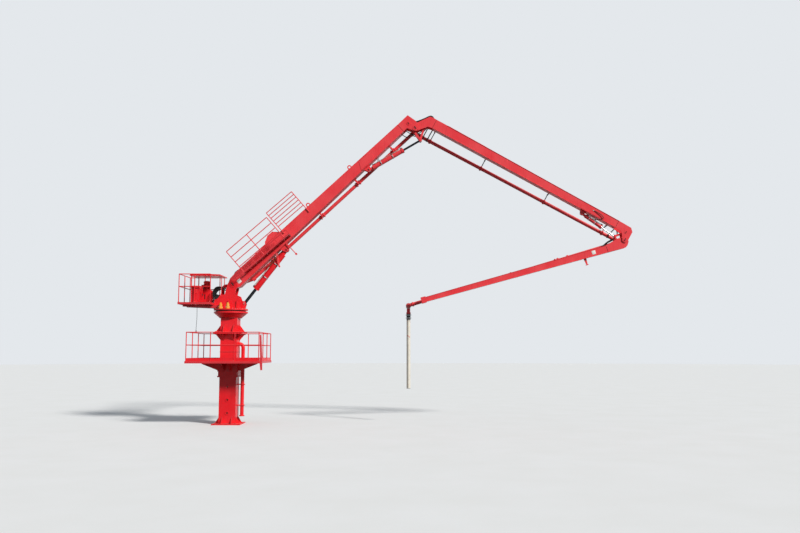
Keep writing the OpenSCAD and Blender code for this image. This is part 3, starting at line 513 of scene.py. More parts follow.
def as_piece(name, shape, finish, body, smooth_below=0.7):
    bmesh.ops.recalc_face_normals(shape, faces=shape.faces)
    for face in shape.faces:
        face.smooth = True
    for edge in shape.edges:
        if len(edge.link_faces) == 2 and edge.calc_face_angle(0.0) > smooth_below:
            edge.smooth = False
    mesh = bpy.data.meshes.new(name)
    shape.to_mesh(mesh)
    shape.free()
    mesh.materials.append(finish)
    print(name, len(mesh.polygons), "faces on", body)
    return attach(put_in_scene(name, mesh), body)


def arm_turn(arm):
    # columns: along the arm, across it, and up from it
    angle = arms[arm][1]
    return Matrix(((math.cos(angle), 0, -math.sin(angle)), (0, 1, 0), (math.sin(angle), 0, math.cos(angle))))


print("arm 1 leans", round(math.degrees(arms[1][1]), 1), "degrees")

# %% [markdown]
# A control cable hangs from the rear platform, with the connector for the operator's pendant on its
# end. It is a free cord: one metre of 16 mm sheathed cable, straight out of its gland and down under its
# own weight, with the faint leftover curl of a cable that was once wound up.

# %% Pendant cable
gland_top = Vector((-1.53, 0.78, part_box("rear_railing")[0].z - 0.011))
cable_top = gland_top - Vector((0, 0, 0.026))
LAST_STEP = 17
falls = [step / LAST_STEP for step in range(LAST_STEP + 1)]
route = [cable_top + Vector((0.016 * math.sin(5.2 * fall) * fall, 0.010 * math.sin(4.1 * fall) * fall, -fall))
         for fall in falls]
cable_data = bpy.data.curves.new("pendant_cable", "CURVE")
cable_data.dimensions = "3D"
cable_data.bevel_depth = 0.008
cable_data.bevel_resolution = 3
cable_data.use_fill_caps = True
spline = cable_data.splines.new("NURBS")
spline.points.add(len(route) - 1)
for place, point in zip(route, spline.points):
    point.co = (*place, 1.0)
spline.order_u = 4
spline.use_endpoint_u = True
spline.resolution_u = 4
cable_data.materials.append(cable_rubber)
pendant_cable = put_in_scene("pendant_cable", cable_data)
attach(pendant_cable, "turret")

shape = bmesh.new()
add_turned(shape, [(0.021, 0), (0.021, 0.010), (0.016, 0.012), (0.016, 0.022), (0.0125, 0.028),
                   (0.0088, 0.046)], gland_top, DOWN, 24)
as_piece("pendant_gland", shape, cable_rubber, "turret")
shape = bmesh.new()
add_turned(shape, [(0.0086, -0.02), (0.0125, 0.0), (0.017, 0.006), (0.017, 0.03), (0.022, 0.036),
                   (0.022, 0.07), (0.0245, 0.072), (0.0245, 0.082), (0.0195, 0.084), (0.0195, 0.098),
                   (0.016, 0.1)], route[-1], DOWN, 24)
pendant_connector = as_piece("pendant_connector", shape, cable_rubber, "turret")
print("cable hangs from", [round(v, 3) for v in cable_top])

# %% [markdown]
# Structural bolts are hot-dip galvanised hex heads on a round washer. Near and far they differ only in
# size and place, so one tree makes the head, its washer and the stub of thread, and puts a copy on each
# point. The point's axis is the way the head looks.

# %% Hex bolt tree
WASHER_THICKNESS = 0.004
bolt_tree, bolt_in = start_tree("hex_bolts", {"Head radius": 0.021, "Head height": 0.015})
head_radius, head_height = bolt_in["Head radius"], bolt_in["Head height"]
head = cylinder(bolt_tree, 6, head_radius, head_height)
washer = cylinder(bolt_tree, 16, maths(bolt_tree, "MULTIPLY", head_radius, 1.25), WASHER_THICKNESS)
stub = cylinder(bolt_tree, 10, maths(bolt_tree, "MULTIPLY", head_radius, 0.55), head_height)
head_middle = maths(bolt_tree, "MULTIPLY_ADD", head_height, 0.5, WASHER_THICKNESS)
stub_middle = maths(bolt_tree, "MULTIPLY_ADD", head_height, 0.85, WASHER_THICKNESS)
bolt = joined(bolt_tree, [moved(bolt_tree, head, Translation=vector(bolt_tree, Z=head_middle)),
                          moved(bolt_tree, stub, Translation=vector(bolt_tree, Z=stub_middle)),
                          moved(bolt_tree, washer, Translation=(0, 0, WASHER_THICKNESS / 2))])
stand_on_points(bolt_tree, bolt_in, bolt)
print("bolt tree:", len(bolt_tree.nodes), "nodes")

# %% Bolts of the column joint, the slewing bearing and the drive motors
FLANGE_THICKNESS = 0.035
joint_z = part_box("column_shaft")[1].z
above_joint, below_joint = joint_z + FLANGE_THICKNESS, joint_z - FLANGE_THICKNESS
spots = [(r, t) for r in (-0.462, 0.462) for t in (-0.31, -0.09, 0.09, 0.31)]
spots = spots + [(t, r) for r, t in spots] + [(a, b) for a in (-0.475, 0.475) for b in (-0.475, 0.475)]
joint_bolts = [(Vector((x, y, above_joint)), UP, EAST) for x, y in spots]
joint_bolts += [(Vector((x, y, below_joint)), DOWN, EAST) for x, y in spots]
scatter("column_joint_bolts", bolt_tree, joint_bolts, red_enamel, "column",
        head_radius=0.031, head_height=0.022)

BOLT_CIRCLE, MOTOR_CIRCLE, MOTOR_BOLT_CIRCLE, MOTOR_ANGLES = 0.628, 0.535, 0.0735, (-92, -126)
deck_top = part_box("slew_deck")[1].z
ring = []
for degree in range(0, 360, 9):
    spot = on_circle(BOLT_CIRCLE, math.radians(degree), deck_top)
    near_motor = any(abs((degree - at + 180) % 360 - 180) < 14 for at in MOTOR_ANGLES)
    if not near_motor and not (spot.x < 0 and abs(spot.y) < 0.36):
        ring.append((spot, UP, (spot.x, spot.y, 0)))
for at in MOTOR_ANGLES:
    centre = on_circle(MOTOR_CIRCLE, math.radians(at), deck_top + 0.07)
    outward = [on_circle(1, math.radians(turn)) for turn in range(0, 360, 60)]
    ring += [(centre + way * MOTOR_BOLT_CIRCLE, UP, tuple(way)) for way in outward]
scatter("slew_deck_bolts", bolt_tree, ring, zinc_steel, "turret", head_radius=0.0105, head_height=0.012)
print(len(joint_bolts), "joint bolts,", len(ring), "ring and motor bolts")

# %% [markdown]
# Each joint pin is kept from turning by a flat keeper bar that lies in a slot across its end, held by
# two bolts. A grease nipple sits in the middle of the pin. Bar, bolts and nipple are one small tree;
# the point's side says which way the bar lies.

# %% Pin keepers
keeper_tree, keeper_in = start_tree("pin_keepers", {"Pin radius": 0.06})
lengthwise, breadthwise, bolt_size = (maths(keeper_tree, "MULTIPLY", keeper_in["Pin radius"], times)
                                      for times in (2.3, 0.62, 0.2))
bar = cuboid(keeper_tree, X=lengthwise, Y=breadthwise, Z=0.008)
parts = [moved(keeper_tree, bar, Translation=(0, 0, 0.004))]
for hand in (-0.8, 0.8):
    spot = vector(keeper_tree, X=maths(keeper_tree, "MULTIPLY", keeper_in["Pin radius"], hand), Z=0.0125)
    parts.append(moved(keeper_tree, cylinder(keeper_tree, 6, bolt_size, 0.01), Translation=spot))
nipple = out(keeper_tree, "GeometryNodeMeshCone",
             {"Vertices": 10, "Radius Top": 0.003, "Radius Bottom": 0.007, "Depth": 0.014})
parts.append(moved(keeper_tree, nipple, Translation=(0, 0, 0.008)))
stand_on_points(keeper_tree, keeper_in, joined(keeper_tree, parts))

# each row: the piece's name, its body, the pin's radius, the arm, and run, rise and half width of its pins
keepers = [("foot_pin", "turret", 0.062, 1, [(0, 0, 0.290)]),
           ("arm_1_head_pin", "boom_1", 0.054, 1, [(9.5, 0, 0.232)]),
           ("arm_1_link_pin", "boom_1", 0.036, 1,
            [(9.42, 0.31, 0.228), (7.0, -0.04, 0.100), (2.45, -0.32, 0.122)]),
           ("arm_2_tail_pin", "boom_2", 0.045, 2, [(9.4, 0, 0.188)]),
           ("arm_2_link_pin", "boom_2", 0.031, 2, [(9.3, 0.28, 0.185), (7.45, 0.145, 0.088)])]
for name, body, radius, arm, pins in keepers:
    points = [(along(arm, run, rise, hand * half), (0, hand, 0), heading(arm, 0, 1))
              for run, rise, half in pins for hand in (-1, 1)]
    scatter(name + "_keepers", keeper_tree, points, black_enamel, body, pin_radius=radius)
lift_eye = Vector((0.53, 0, 4.66))
lug_pins = [(lift_eye + Vector((0, hand * 0.104, 0)), (0, hand, 0), UP) for hand in (-1, 1)]
scatter("lift_lug_pin_keepers", keeper_tree, lug_pins, zinc_steel, "turret", pin_radius=0.038)

# %% [markdown]
# Concrete pipes end in a raised collar, and a two-piece clamp grips the collars of neighbours. What
# one sees is a broad ring with an ear and a bolt on each side. The swivel joints on the hinge axes carry
# the same clamp, a size larger. The ring is a swept flat bar, so it keeps a real hollow.

# %% Pipe clamps
clamp_tree, clamp_in = start_tree("pipe_clamps", {"Ring radius": 0.095, "Ring width": 0.04})
hoop = out(clamp_tree, "GeometryNodeCurvePrimitiveCircle",
           {"Resolution": 40, "Radius": clamp_in["Ring radius"]})
section = out(clamp_tree, "GeometryNodeCurvePrimitiveQuadrilateral",
              {"Height": 0.016, "Width": clamp_in["Ring width"]})
section = moved(clamp_tree, section, Rotation=(0, 0, math.pi / 2))
parts = [out(clamp_tree, "GeometryNodeCurveToMesh", {"Curve": hoop, "Profile Curve": section})]
for hand in (-1, 1):
    reach = maths(clamp_tree, "MULTIPLY", maths(clamp_tree, "ADD", clamp_in["Ring radius"], 0.017), hand)
    for step in (-0.009, 0.009):
        ear = cuboid(clamp_tree, X=0.036, Y=0.012, Z=clamp_in["Ring width"])
        parts.append(moved(clamp_tree, ear, Translation=vector(clamp_tree, X=reach, Y=step)))
    parts.append(moved(clamp_tree, cylinder(clamp_tree, 6, 0.009, 0.062), Rotation=(math.pi / 2, 0, 0),
                       Translation=vector(clamp_tree, X=reach)))
stand_on_points(clamp_tree, clamp_in, joined(clamp_tree, parts))


def clamp_spot(arm, run, rise, side, slope=0.0):
    return along(arm, run, rise, side), heading(arm, 1, slope), FAR


pipe_side, over_side, hinge_side = 0.370, 0.6703, 0.520
pipe_clamps = {
    "boom_1": [clamp_spot(1, run + shift, -0.270 * (9.5 - run - shift) / 8.8, pipe_side, 0.0307)
               for run in (1.8, 4.4, 6.35, 8.3) for shift in (-0.075, 0.075)],
    "boom_2": [clamp_spot(2, run, 0, over_side) for run in (0.7, 3.05, 5.95, 8.6)],
    "boom_3": [clamp_spot(3, run, 0.2 * run / 8.9, pipe_side, 0.0225) for run in (2.78, 4.63, 6.48)],
    "column": [(Vector((0.51, 0, height)), UP, FAR) for height in (0.32, 0.72, 1.52)]}
for body, spots in pipe_clamps.items():
    finish = red_enamel if body == "column" else arm_enamel
    scatter(body + "_pipe_clamps", clamp_tree, spots, finish, body, ring_radius=0.094, ring_width=0.034)

# slim clamps hold the black stay rods at both ends of arm 2's pipe
stay_runs = (0.37, 0.57, 8.87)
scatter("boom_2_stay_clamps", clamp_tree, [clamp_spot(2, run, 0, over_side) for run in stay_runs],
        black_enamel, "boom_2", ring_radius=0.074, ring_width=0.04)

swivels = {"boom_1": [(1, 0, 0)], "boom_2": [(2, 0, 0)], "boom_3": [(3, 0, 0), (3, 8.9, 0.2)]}
for body, places in swivels.items():
    spots = [(along(*place, hinge_side), FAR, heading(place[0], 1, 0.6)) for place in places]
    scatter(body + "_swivel_clamps", clamp_tree, spots, galvanised, body, ring_radius=0.100, ring_width=0.058)

# %% [markdown]
# A hydraulic hose leaves its fitting straight and then takes the widest curve it can. A handful of
# points gives each route, and the tree rounds them with a Catmull-Rom spline, spaces them evenly and
# sweeps a circle along them. A second tree puts the crimped steel ferrule on both ends, turned to the
# hose's own direction there.

# %% Hose and ferrule trees
def smooth_path(tree, inputs):
    line = out(tree, "GeometryNodeMeshToCurve", {"Mesh": inputs["Geometry"]})
    return out(tree, "GeometryNodeCurveSplineType", {"Curve": line}, spline_type="CATMULL_ROM")


def spaced_evenly(tree, curve, inputs):
    return out(tree, "GeometryNodeResampleCurve", {"Curve": curve, "Length": inputs["Spacing"]},
               mode="LENGTH")


def following_the_path(tree):
    tangent = out(tree, "GeometryNodeInputTangent")
    return out(tree, "FunctionNodeAlignRotationToVector", {"Vector": tangent}, axis="Z")


def softened(tree, geometry):
    return out(tree, "GeometryNodeSetShadeSmooth", {"Geometry": geometry})


hose_tree, hose_in = start_tree("hoses", {"Radius": 0.012, "Spacing": 0.03, "Sides": 10})
round_section = out(hose_tree, "GeometryNodeCurvePrimitiveCircle",
                    {"Resolution": hose_in["Sides"], "Radius": hose_in["Radius"]})
swept_hose = out(hose_tree, "GeometryNodeCurveToMesh",
                 {"Curve": spaced_evenly(hose_tree, smooth_path(hose_tree, hose_in), hose_in),
                  "Profile Curve": round_section, "Fill Caps": True})
finish_tree(hose_tree, hose_in, softened(hose_tree, swept_hose))

ferrule_tree, ferrule_in = start_tree("ferrules", {"Radius": 0.012})
sleeve = cylinder(ferrule_tree, 12, maths(ferrule_tree, "MULTIPLY", ferrule_in["Radius"], 1.28), 0.05)
nut = cylinder(ferrule_tree, 6, maths(ferrule_tree, "MULTIPLY", ferrule_in["Radius"], 1.7), 0.018)
crimps = out(ferrule_tree, "GeometryNodeInstanceOnPoints",
             {"Points": smooth_path(ferrule_tree, ferrule_in),
              "Selection": out(ferrule_tree, "GeometryNodeCurveEndpointSelection"),
              "Instance": joined(ferrule_tree, (sleeve, nut)), "Rotation": following_the_path(ferrule_tree)})
finish_tree(ferrule_tree, ferrule_in, crimps)


def lay_hoses(name, routes, radius, bodies, finish=black_rubber, turning=None, spacing=0.03):
    hoses = grow(name, hose_tree, routes_seed(name + "_routes", routes), finish,
                 radius=radius, spacing=spacing)
    ferrules = grow(name + "_ferrules", ferrule_tree, routes_seed(name + "_ends", routes), zinc_steel,
                    radius=radius)
    for piece in (hoses, ferrules):
        if turning:
            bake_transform(piece)
        else:
            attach(piece, bodies[0])


print("hose tree:", len(hose_tree.nodes), "nodes")

# %% [markdown]
# The control valves stand behind the turret on the stepped ends of its side plates: a black manifold
# with a row of solenoids. From it a thick bundle of hoses rises over the turret's back and dives into
# the foot of arm 1. It crosses the foot hinge; its mesh stays where it is made and rides on no body.

# %% Valve bank and the hose arch
block_low = 4.7705
shape = bmesh.new()
add_block(shape, (-0.535, 0, block_low + 0.065), (0.125, 0.42, 0.13), bevel=0.006)
for number in range(6):
    side = -0.175 + 0.07 * number
    add_block(shape, (-0.525, side, block_low + 0.147), (0.075, 0.05, 0.036))
    add_turned(shape, [(0.019, 0), (0.022, 0.004), (0.022, 0.058), (0.018, 0.064), (0.009, 0.066),
                       (0.009, 0.078)], (-0.525, side, block_low + 0.163), sides=18)
as_piece("valve_bank", shape, black_enamel, "turret")

# each layer: how far it stands out, how much lower its crown is, and its hoses
arch = []
for layer, (reach, crown, count) in enumerate(((0.0, 0.0, 7), (0.05, 0.075, 6))):
    for number in range(count):
        side = (number - (count - 1) / 2) * 0.055
        sway = 0.012 * math.sin(2.3 * number + layer)
        arch.append([(-0.597, side, 4.80 + 0.05 * layer),
                     (-0.645 + reach / 3, side, 4.83 + 0.05 * layer),
                     (-0.685 + reach + sway, side * 1.1, 5.00),
                     (-0.655 + reach, side * 1.15, 5.16 - crown / 2),
                     (-0.56 + reach, side * 1.15, 5.275 - crown),
                     (-0.42, side * 1.1, 5.295 - crown + sway),
                     (-0.28, side, 5.255 - crown * 0.9),
                     (-0.16, side, 5.225 - crown * 0.7),
                     (-0.085, side, 5.235 - crown * 0.55),
                     (-0.035, side, 5.262 - crown * 0.6)])
lay_hoses("turret_hose_arch", arch, 0.019, ("turret", "boom_1"),
          turning=((-0.42, 0, 5.2), (-0.08, 0, 5.24)))

feed = [[(-0.742, 0.30 + 0.06 * n, 4.93 + 0.05 * n), (-0.70, 0.30 + 0.055 * n, 4.935 + 0.05 * n),
         (-0.62, 0.31 + 0.03 * n, 4.90 + 0.03 * n), (-0.56, 0.27 + 0.03 * n, 4.87 + 0.02 * n),
         (-0.545 + 0.03 * n, 0.208, 4.80 + 0.03 * n)] for n in range(3)]
lay_hoses("pump_hoses", feed, 0.014, ("turret",))
print(len(arch), "hoses in the arch,", len(feed), "from the pump")

# %% [markdown]
# Steel tubes carry the oil along the arms, clipped in plastic blocks to the far web where nothing
# strikes them. Only at the joints do hoses take over: over the first joint in a shallow arch that shows
# above the arms, and in hanging loops below it and at the second joint.

# %% Tubes along the arms
TUBE_PITCH = 0.042


def web_1(run, row=0):
    return 0.20 + 0.028 * (run - 1.0) + TUBE_PITCH * row


def web_2(run, row=0):
    return 0.49 - 0.014 * (run - 1.0) + TUBE_PITCH * row


def web_3(run, row=0):
    return 0.20 - 0.002 * (run - 1.0) + TUBE_PITCH * row


side_1, side_2, side_3 = 0.2235, 0.192, 0.1445
# arm: first run, last run, height of the lowest tube, side offset, tubes
tube_lines = {1: (0.9, 8.25, web_1, side_1, 4), 2: (1.45, 8.7, web_2, side_2, 3),
              3: (1.45, 8.0, web_3, side_3, 2)}
for arm, (first, last, line, side, rows) in tube_lines.items():
    tubes = [trace((arm, first, line(first, row), side), (arm, last, line(last, row), side))
             for row in range(rows)]
    lay_hoses(f"arm_{arm}_oil_tubes", tubes, 0.0095, (f"boom_{arm}",), zinc_steel, spacing=0.5)
    shape = bmesh.new()
    for run in [first + 0.2 + (last - first - 0.4) * step / 7 for step in range(8)]:
        middle = along(arm, run, line(run, (rows - 1) / 2), side - 0.003)
        add_block(shape, middle, (0.03, 0.030, TUBE_PITCH * rows + 0.012), arm_turn(arm), 0.003)
    as_piece(f"arm_{arm}_tube_clips", shape, black_enamel, f"boom_{arm}")

# %% Hoses over the joints
def fan_out(count, *stops):
    # each stop: arm, run, rise, side, and by how much rise and side change from one hose to the next
    return [[along(arm, run, rise + up * n, side + over * n) for arm, run, rise, side, up, over in stops]
            for n in range(count)]


foot_hoses = fan_out(4, (1, 0.9, web_1(0.9), side_1, TUBE_PITCH, 0), (1, 0.78, web_1(0.8), side_1, 0.044, 0),
                     (1, 0.62, 0.30, 0.215, 0.012, 0), (1, 0.48, 0.335, 0.15, 0.008, -0.02),
                     (1, 0.34, 0.325, 0.10, 0, -0.055), (1, 0.26, 0.268, 0.09, 0, -0.06))
lay_hoses("arm_1_foot_hoses", foot_hoses, 0.013, ("boom_1",))

over_joint = fan_out(2, (1, 8.25, web_1(8.25), side_1, 0.02, 0), (1, 8.5, 0.42, 0.235, 0, 0.01),
                     (1, 9.0, 0.40, 0.25, 0.01, 0.02), (1, 9.35, 0.37, 0.25, 0.01, 0.02),
                     (1, 9.62, 0.29, 0.245, 0.01, 0.02), (2, 0.16, 0.48, 0.235, 0.01, 0.02),
                     (2, 0.38, 0.60, 0.225, 0.008, 0.015), (2, 0.66, 0.62, 0.205, 0, 0.01),
                     (2, 1.05, 0.56, 0.195, 0.02, 0), (2, 1.45, web_2(1.45), side_2, TUBE_PITCH, 0))
lay_hoses("joint_1_side_hoses", over_joint, 0.013, ("boom_1", "boom_2"),
          turning=trace((1, 9.45, 0.25), (2, 0.25, 0.50)))
# three large return hoses come out of arm 1's end plate and lie along the top edge of arm 2's near cheek
top_edge = fan_out(3, (1, 9.06, 0.43, -0.045, 0, -0.045), (1, 9.22, 0.42, -0.05, 0, -0.045),
                   (1, 9.40, 0.39, -0.055, 0, -0.045), (2, -0.12, 0.23, -0.06, 0, -0.045),
                   (2, 0.02, 0.37, -0.06, 0, -0.045), (2, 0.16, 0.545, -0.06, 0, -0.045),
                   (2, 0.28, 0.705, -0.06, 0, -0.045), (2, 0.37, 0.742, -0.06, 0, -0.045),
                   (2, 0.47, 0.70, -0.055, 0, -0.04), (2, 0.59, 0.57, -0.05, 0, -0.035))
lay_hoses("joint_1_hoses_above", top_edge, 0.020, ("boom_1", "boom_2"),
          turning=trace((1, 9.35, 0.39), (2, 0.05, 0.40)))
# two hoses cross below the joint, outside the far cheeks and clear of the folding links
under_joint = [trace((1, 9.20, 0.26, 0.228), (1, 9.25, 0.13, 0.254), (1, 9.29, 0.01, 0.257),
                     (1, 9.325, -0.14, 0.257), (1, 9.40, -0.23, 0.254), (2, 0.14, -0.19, 0.245),
                     (2, 0.28, -0.02, 0.218), (2, 0.36, 0.24, 0.188)),
               trace((1, 9.00, 0.21, 0.228), (1, 9.04, 0.07, 0.252), (1, 9.13, -0.01, 0.258),
                     (1, 9.29, -0.02, 0.259), (1, 9.42, -0.09, 0.259), (2, 0.10, -0.12, 0.250),
                     (2, 0.24, 0.06, 0.222), (2, 0.31, 0.30, 0.188))]
lay_hoses("joint_1_hoses_below", under_joint, 0.016, ("boom_1", "boom_2"),
          turning=trace((1, 9.27, 0.03), (2, 0.18, -0.06)))
# black stay rods steady both ends of arm 2's pipe
stay_rods = [trace((2, run + 0.05, foot, 0.175), (2, run + 0.02, 0.19, 0.42),
                   (2, run, 0.085, over_side - 0.02)) for run, foot in zip(stay_runs, (0.30, 0.38, 0.33))]
lay_hoses("pipe_stay_rods", stay_rods, 0.022, ("boom_2",), black_enamel, spacing=0.1)
second_joint = fan_out(3, (2, 8.7, web_2(8.7), side_2, TUBE_PITCH, 0), (2, 8.95, 0.30, 0.21, 0.03, 0.012),
                       (2, 9.10, 0.12, 0.225, 0.02, 0.02), (2, 9.06, -0.03, 0.23, -0.02, 0.02),
                       (3, 0.40, -0.12, 0.23, -0.02, 0.02), (3, 0.60, -0.08, 0.22, -0.015, 0.015),
                       (3, 0.88, 0.02, 0.18, 0, 0.012), (3, 1.20, 0.14, 0.155, 0.02, 0))
for number, hose in enumerate(second_joint):
    # arm 3 has two tubes, so the third hose ends outside the first
    hose.append(along(3, 1.45, web_3(1.45, number % 2), side_3 + 0.03 * (number // 2)))
lay_hoses("joint_2_hoses", second_joint, 0.018, ("boom_2", "boom_3"),
          turning=trace((2, 9.05, 0.05), (3, 0.6, -0.08)))

# %% [markdown]
# Each cylinder has a port block at either end of its barrel. A thin tube takes the oil from the block
# at the foot to the one at the gland, held to the barrel by two straps.

# %% Cylinder ports, tubes and straps
# each row: the eye, the barrel's direction, its length, its radius, the length of its neck, the tube's finish
cylinders = {"lift": ((2.151798, 0, 6.7766), (-0.608212, 0, -0.793774), 1.96, 0.115, 0.23, tan_tube),
             "fold_2": ((5.385249, 0, 9.989961), (0.861421, 0, 0.507892), 1.60, 0.090, 0.18, zinc_steel),
             "fold_3": ((13.847393, 0, 8.231069), (0.810187, 0, -0.586171), 0.95, 0.070, 0.15, zinc_steel)}
for name, (eye, run, length, radius, neck, tube_finish) in cylinders.items():
    eye, run = Vector(eye), Vector(run).normalized()
    lift = Vector((-run.z, 0, run.x))
    lift = lift if lift.z > 0 else -lift
    turn = Matrix((run, Vector(FAR), run.cross(Vector(FAR)))).transposed()
    shape = bmesh.new()
    for place, off in ((neck + 0.07, 0.014), (length - 0.05, 0.026)):
        add_block(shape, eye + run * place + lift * (radius + off), (0.065, 0.06, 0.04), turn)
    as_piece(name + "_port_blocks", shape, black_enamel, name + "_barrel")
    tube = [eye + run * place + lift * (radius + off)
            for place, off in ((neck + 0.10, 0.018), (neck + 0.22, 0.024), (length - 0.25, 0.024),
                               (length - 0.085, 0.030))]
    lay_hoses(name + "_barrel_tube", [tube], 0.011, (name + "_barrel",), tube_finish, spacing=0.06)
    straps = [(eye + run * (neck + part * (length - neck - 0.15)), tuple(run), FAR) for part in (0.3, 0.72)]
    scatter(name + "_tube_straps", clamp_tree, straps, galvanised, name + "_barrel",
            ring_radius=radius + 0.004, ring_width=0.022)

# two hoses drop from the tubes on the web to the port block at each barrel's foot
feeds = {"lift": (1, [(2.55, 0.243, 0.236), (2.51, 0.05, 0.246), (2.42, -0.17, 0.235), (2.29, -0.235, 0.150),
                      (2.16, -0.252, 0.046)]),
         "fold_2": (1, [(7.64, 0.386, 0.236), (7.66, 0.25, 0.246), (7.60, 0.05, 0.235), (7.46, 0.00, 0.150),
                        (7.29, 0.015, 0.046)]),
         "fold_3": (2, [(8.06, 0.392, 0.204), (8.08, 0.30, 0.214), (7.99, 0.20, 0.200), (7.86, 0.175, 0.120),
                        (7.70, 0.198, 0.044)])}
for name, (arm, stops) in feeds.items():
    pair = []
    for n in range(2):
        hose = [along(arm, run - 0.05 * n, rise + 0.006 * n, side + 0.012 * n)
                for run, rise, side in stops[:-1]]
        last_run, last_rise, last_side = stops[-1]
        pair.append(hose + [along(arm, last_run - 0.032 * n, last_rise, last_side)])
    lay_hoses(name + "_feed_hoses", pair, 0.0105, (f"boom_{arm}", name + "_barrel"),
              turning=trace((arm, stops[1][0], stops[2][1]), (arm, stops[3][0], stops[3][1])))
# one more hose of folding cylinder 3 loops over the near web
near_loop = trace((2, 7.78, 0.43, -0.180), (2, 7.95, 0.43, -0.205), (2, 8.14, 0.41, -0.220),
                  (2, 8.25, 0.345, -0.222), (2, 8.21, 0.265, -0.205), (2, 8.10, 0.20, -0.12),
                  (2, 7.98, 0.150, -0.045))
lay_hoses("fold_3_loop_hose", [near_loop], 0.014, ("boom_2", "fold_3_barrel"),
          turning=trace((2, 8.25, 0.345), (2, 8.08, 0.19)))

# %% [markdown]
# Welders leave a bead wherever two plates meet. Up close it is a row of overlapping scales, one for each
# dip of the rod, about 3 mm apart and drawn at 10 mm so that they show. The tree walks along each seam,
# sets a flattened low dome every step and turns it to follow the seam.

# %% Weld bead tree
weld_tree, weld_in = start_tree("weld_beads", {"Bead radius": 0.008, "Spacing": 0.010})
seam = out(weld_tree, "GeometryNodeMeshToCurve", {"Mesh": weld_in["Geometry"]})
scale_shape = out(weld_tree, "GeometryNodeMeshIcoSphere",
                  {"Subdivisions": 1, "Radius": weld_in["Bead radius"]})
leaned = moved(weld_tree, scale_shape, Rotation=(0.0, 0.5, 0.0), Scale=(1.0, 1.0, 1.5))
scales = out(weld_tree, "GeometryNodeInstanceOnPoints",
             {"Points": spaced_evenly(weld_tree, seam, weld_in), "Instance": leaned,
              "Rotation": following_the_path(weld_tree)})
finish_tree(weld_tree, weld_in, softened(weld_tree, scales))
print("weld tree:", len(weld_tree.nodes), "nodes")

# %% Weld seams of the column, the turret and the arms
# these beads carry the dark red seam enamel, painted shade along each seam
HALF_COLUMN, COLLAR_TOP, CONE_RADIUS, CHEEK = 0.320, 2.765, 0.431, 0.265
shaft_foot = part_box("column_shaft")[0].z
seam_half = HALF_COLUMN + 0.002
corners = [(-seam_half, -seam_half), (seam_half, -seam_half), (seam_half, seam_half), (-seam_half, seam_half)]
column_seams = [[(x, y, height) for x, y in corners + corners[:1]]
                for height in (shaft_foot, below_joint, above_joint, COLLAR_TOP)]
gussets = ((shaft_foot, shaft_foot + 0.25), (joint_z - 0.29, below_joint), (above_joint, joint_z + 0.32))
for quarter in range(4):
    turn = Matrix.Rotation(quarter * math.pi / 2, 3, "Z")
    for side in (-0.19, 0.19):
        for hand in (-0.009, 0.009):
            column_seams += [[tuple(turn @ Vector((HALF_COLUMN, side + hand, z))) for z in ends]
                             for ends in gussets]
cone_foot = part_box("column_head")[1].z - 0.29
column_seams.append([on_circle(CONE_RADIUS, a * math.tau / 48, cone_foot) for a in range(49)])
sweep("column_welds", weld_tree, column_seams, shaded_seam_enamel, "column")

turret_seams = []
for hand in (-1, 1):
    for side in (CHEEK, 0.235):
        turret_seams.append([(-0.575, hand * side, deck_top), (0.43, hand * side, deck_top)])
    for x in (-0.06, -0.042, 0.27, 0.288):
        turret_seams.append([(x, hand * CHEEK, deck_top), (x, hand * CHEEK, deck_top + 0.33)])
sweep("turret_welds", weld_tree, turret_seams, shaded_seam_enamel, "turret")

# each row: the arm, the side offset, and run and rise along the seam
arm_seams = {1: [], 2: [], 3: []}
for arm, side, *points in ((1, 0.210, (9.05, 0.20), (9.05, 0.54)),
                           (1, 0.211, (6.74, 0.10), (6.90, 0.44), (7.33, 0.455), (7.48, 0.30),
                            (7.33, 0.14), (6.74, 0.10)),
                           (1, 0.108, (2.25, -0.15), (2.37, -0.15), (2.53, -0.15), (2.65, -0.14)),
                           (2, 0.171, (0.60, 0.34), (0.60, 0.70)),
                           (2, 0.171, (8.85, 0.26), (8.85, 0.54)),
                           (3, 0.131, (0.78, 0.04), (0.78, 0.29)),
                           (3, 0.131, (8.19, 0.06), (8.19, 0.28))):
    arm_seams[arm] += [[along(arm, run, rise, hand * side) for run, rise in points] for hand in (-1, 1)]
for arm, seams in arm_seams.items():
    sweep(f"arm_{arm}_welds", weld_tree, seams, shaded_seam_enamel, f"boom_{arm}")

# %% [markdown]
# A locking bar hangs from the cheek of the lift cylinder's upper lug, where the fitter can reach it from
# the walkway. It is a plain rod with a turned collar above and a knob below.

# %% Locking bar under arm 1
bar_top, bar_foot = trace((1, 2.09, -0.215, -0.150), (1, 1.80, -0.690, -0.150))
bar_length = (bar_foot - bar_top).length
shape = bmesh.new()
add_turned(shape, [(0.010, 0), (0.026, 0.006), (0.026, 0.040), (0.015, 0.050), (0.015, bar_length - 0.07),
                   (0.024, bar_length - 0.055), (0.030, bar_length - 0.03), (0.022, bar_length - 0.006),
                   (0.008, bar_length)], bar_top, (bar_foot - bar_top).normalized(), 20)
as_piece("arm_1_locking_bar", shape, arm_enamel, "boom_1")

# %% [markdown]
# The bearing under the turret has an outer ring with gear teeth, and the pinions of the two drive motors
# run in them. Teeth are cut and hardened, then smeared with dark grease. Cooling fins of the pump motor
# and base plates of the guard rails repeat in the same way, so all three use one tree of small blocks
# with a named length, breadth and height.

# %% Block tree: gear teeth, motor fins and rail bases
block_tree, block_in = start_tree("small_blocks", {"Block length": 0.03, "Block breadth": 0.02,
                                                   "Block height": 0.04})
stand_on_points(block_tree, block_in, cuboid(block_tree, X=block_in["Block length"],
                                             Y=block_in["Block breadth"], Z=block_in["Block height"]))
greased_gear = ground_metal("greased_gear_steel", "3A352E", "1E1B18", 0.22, 0.45)


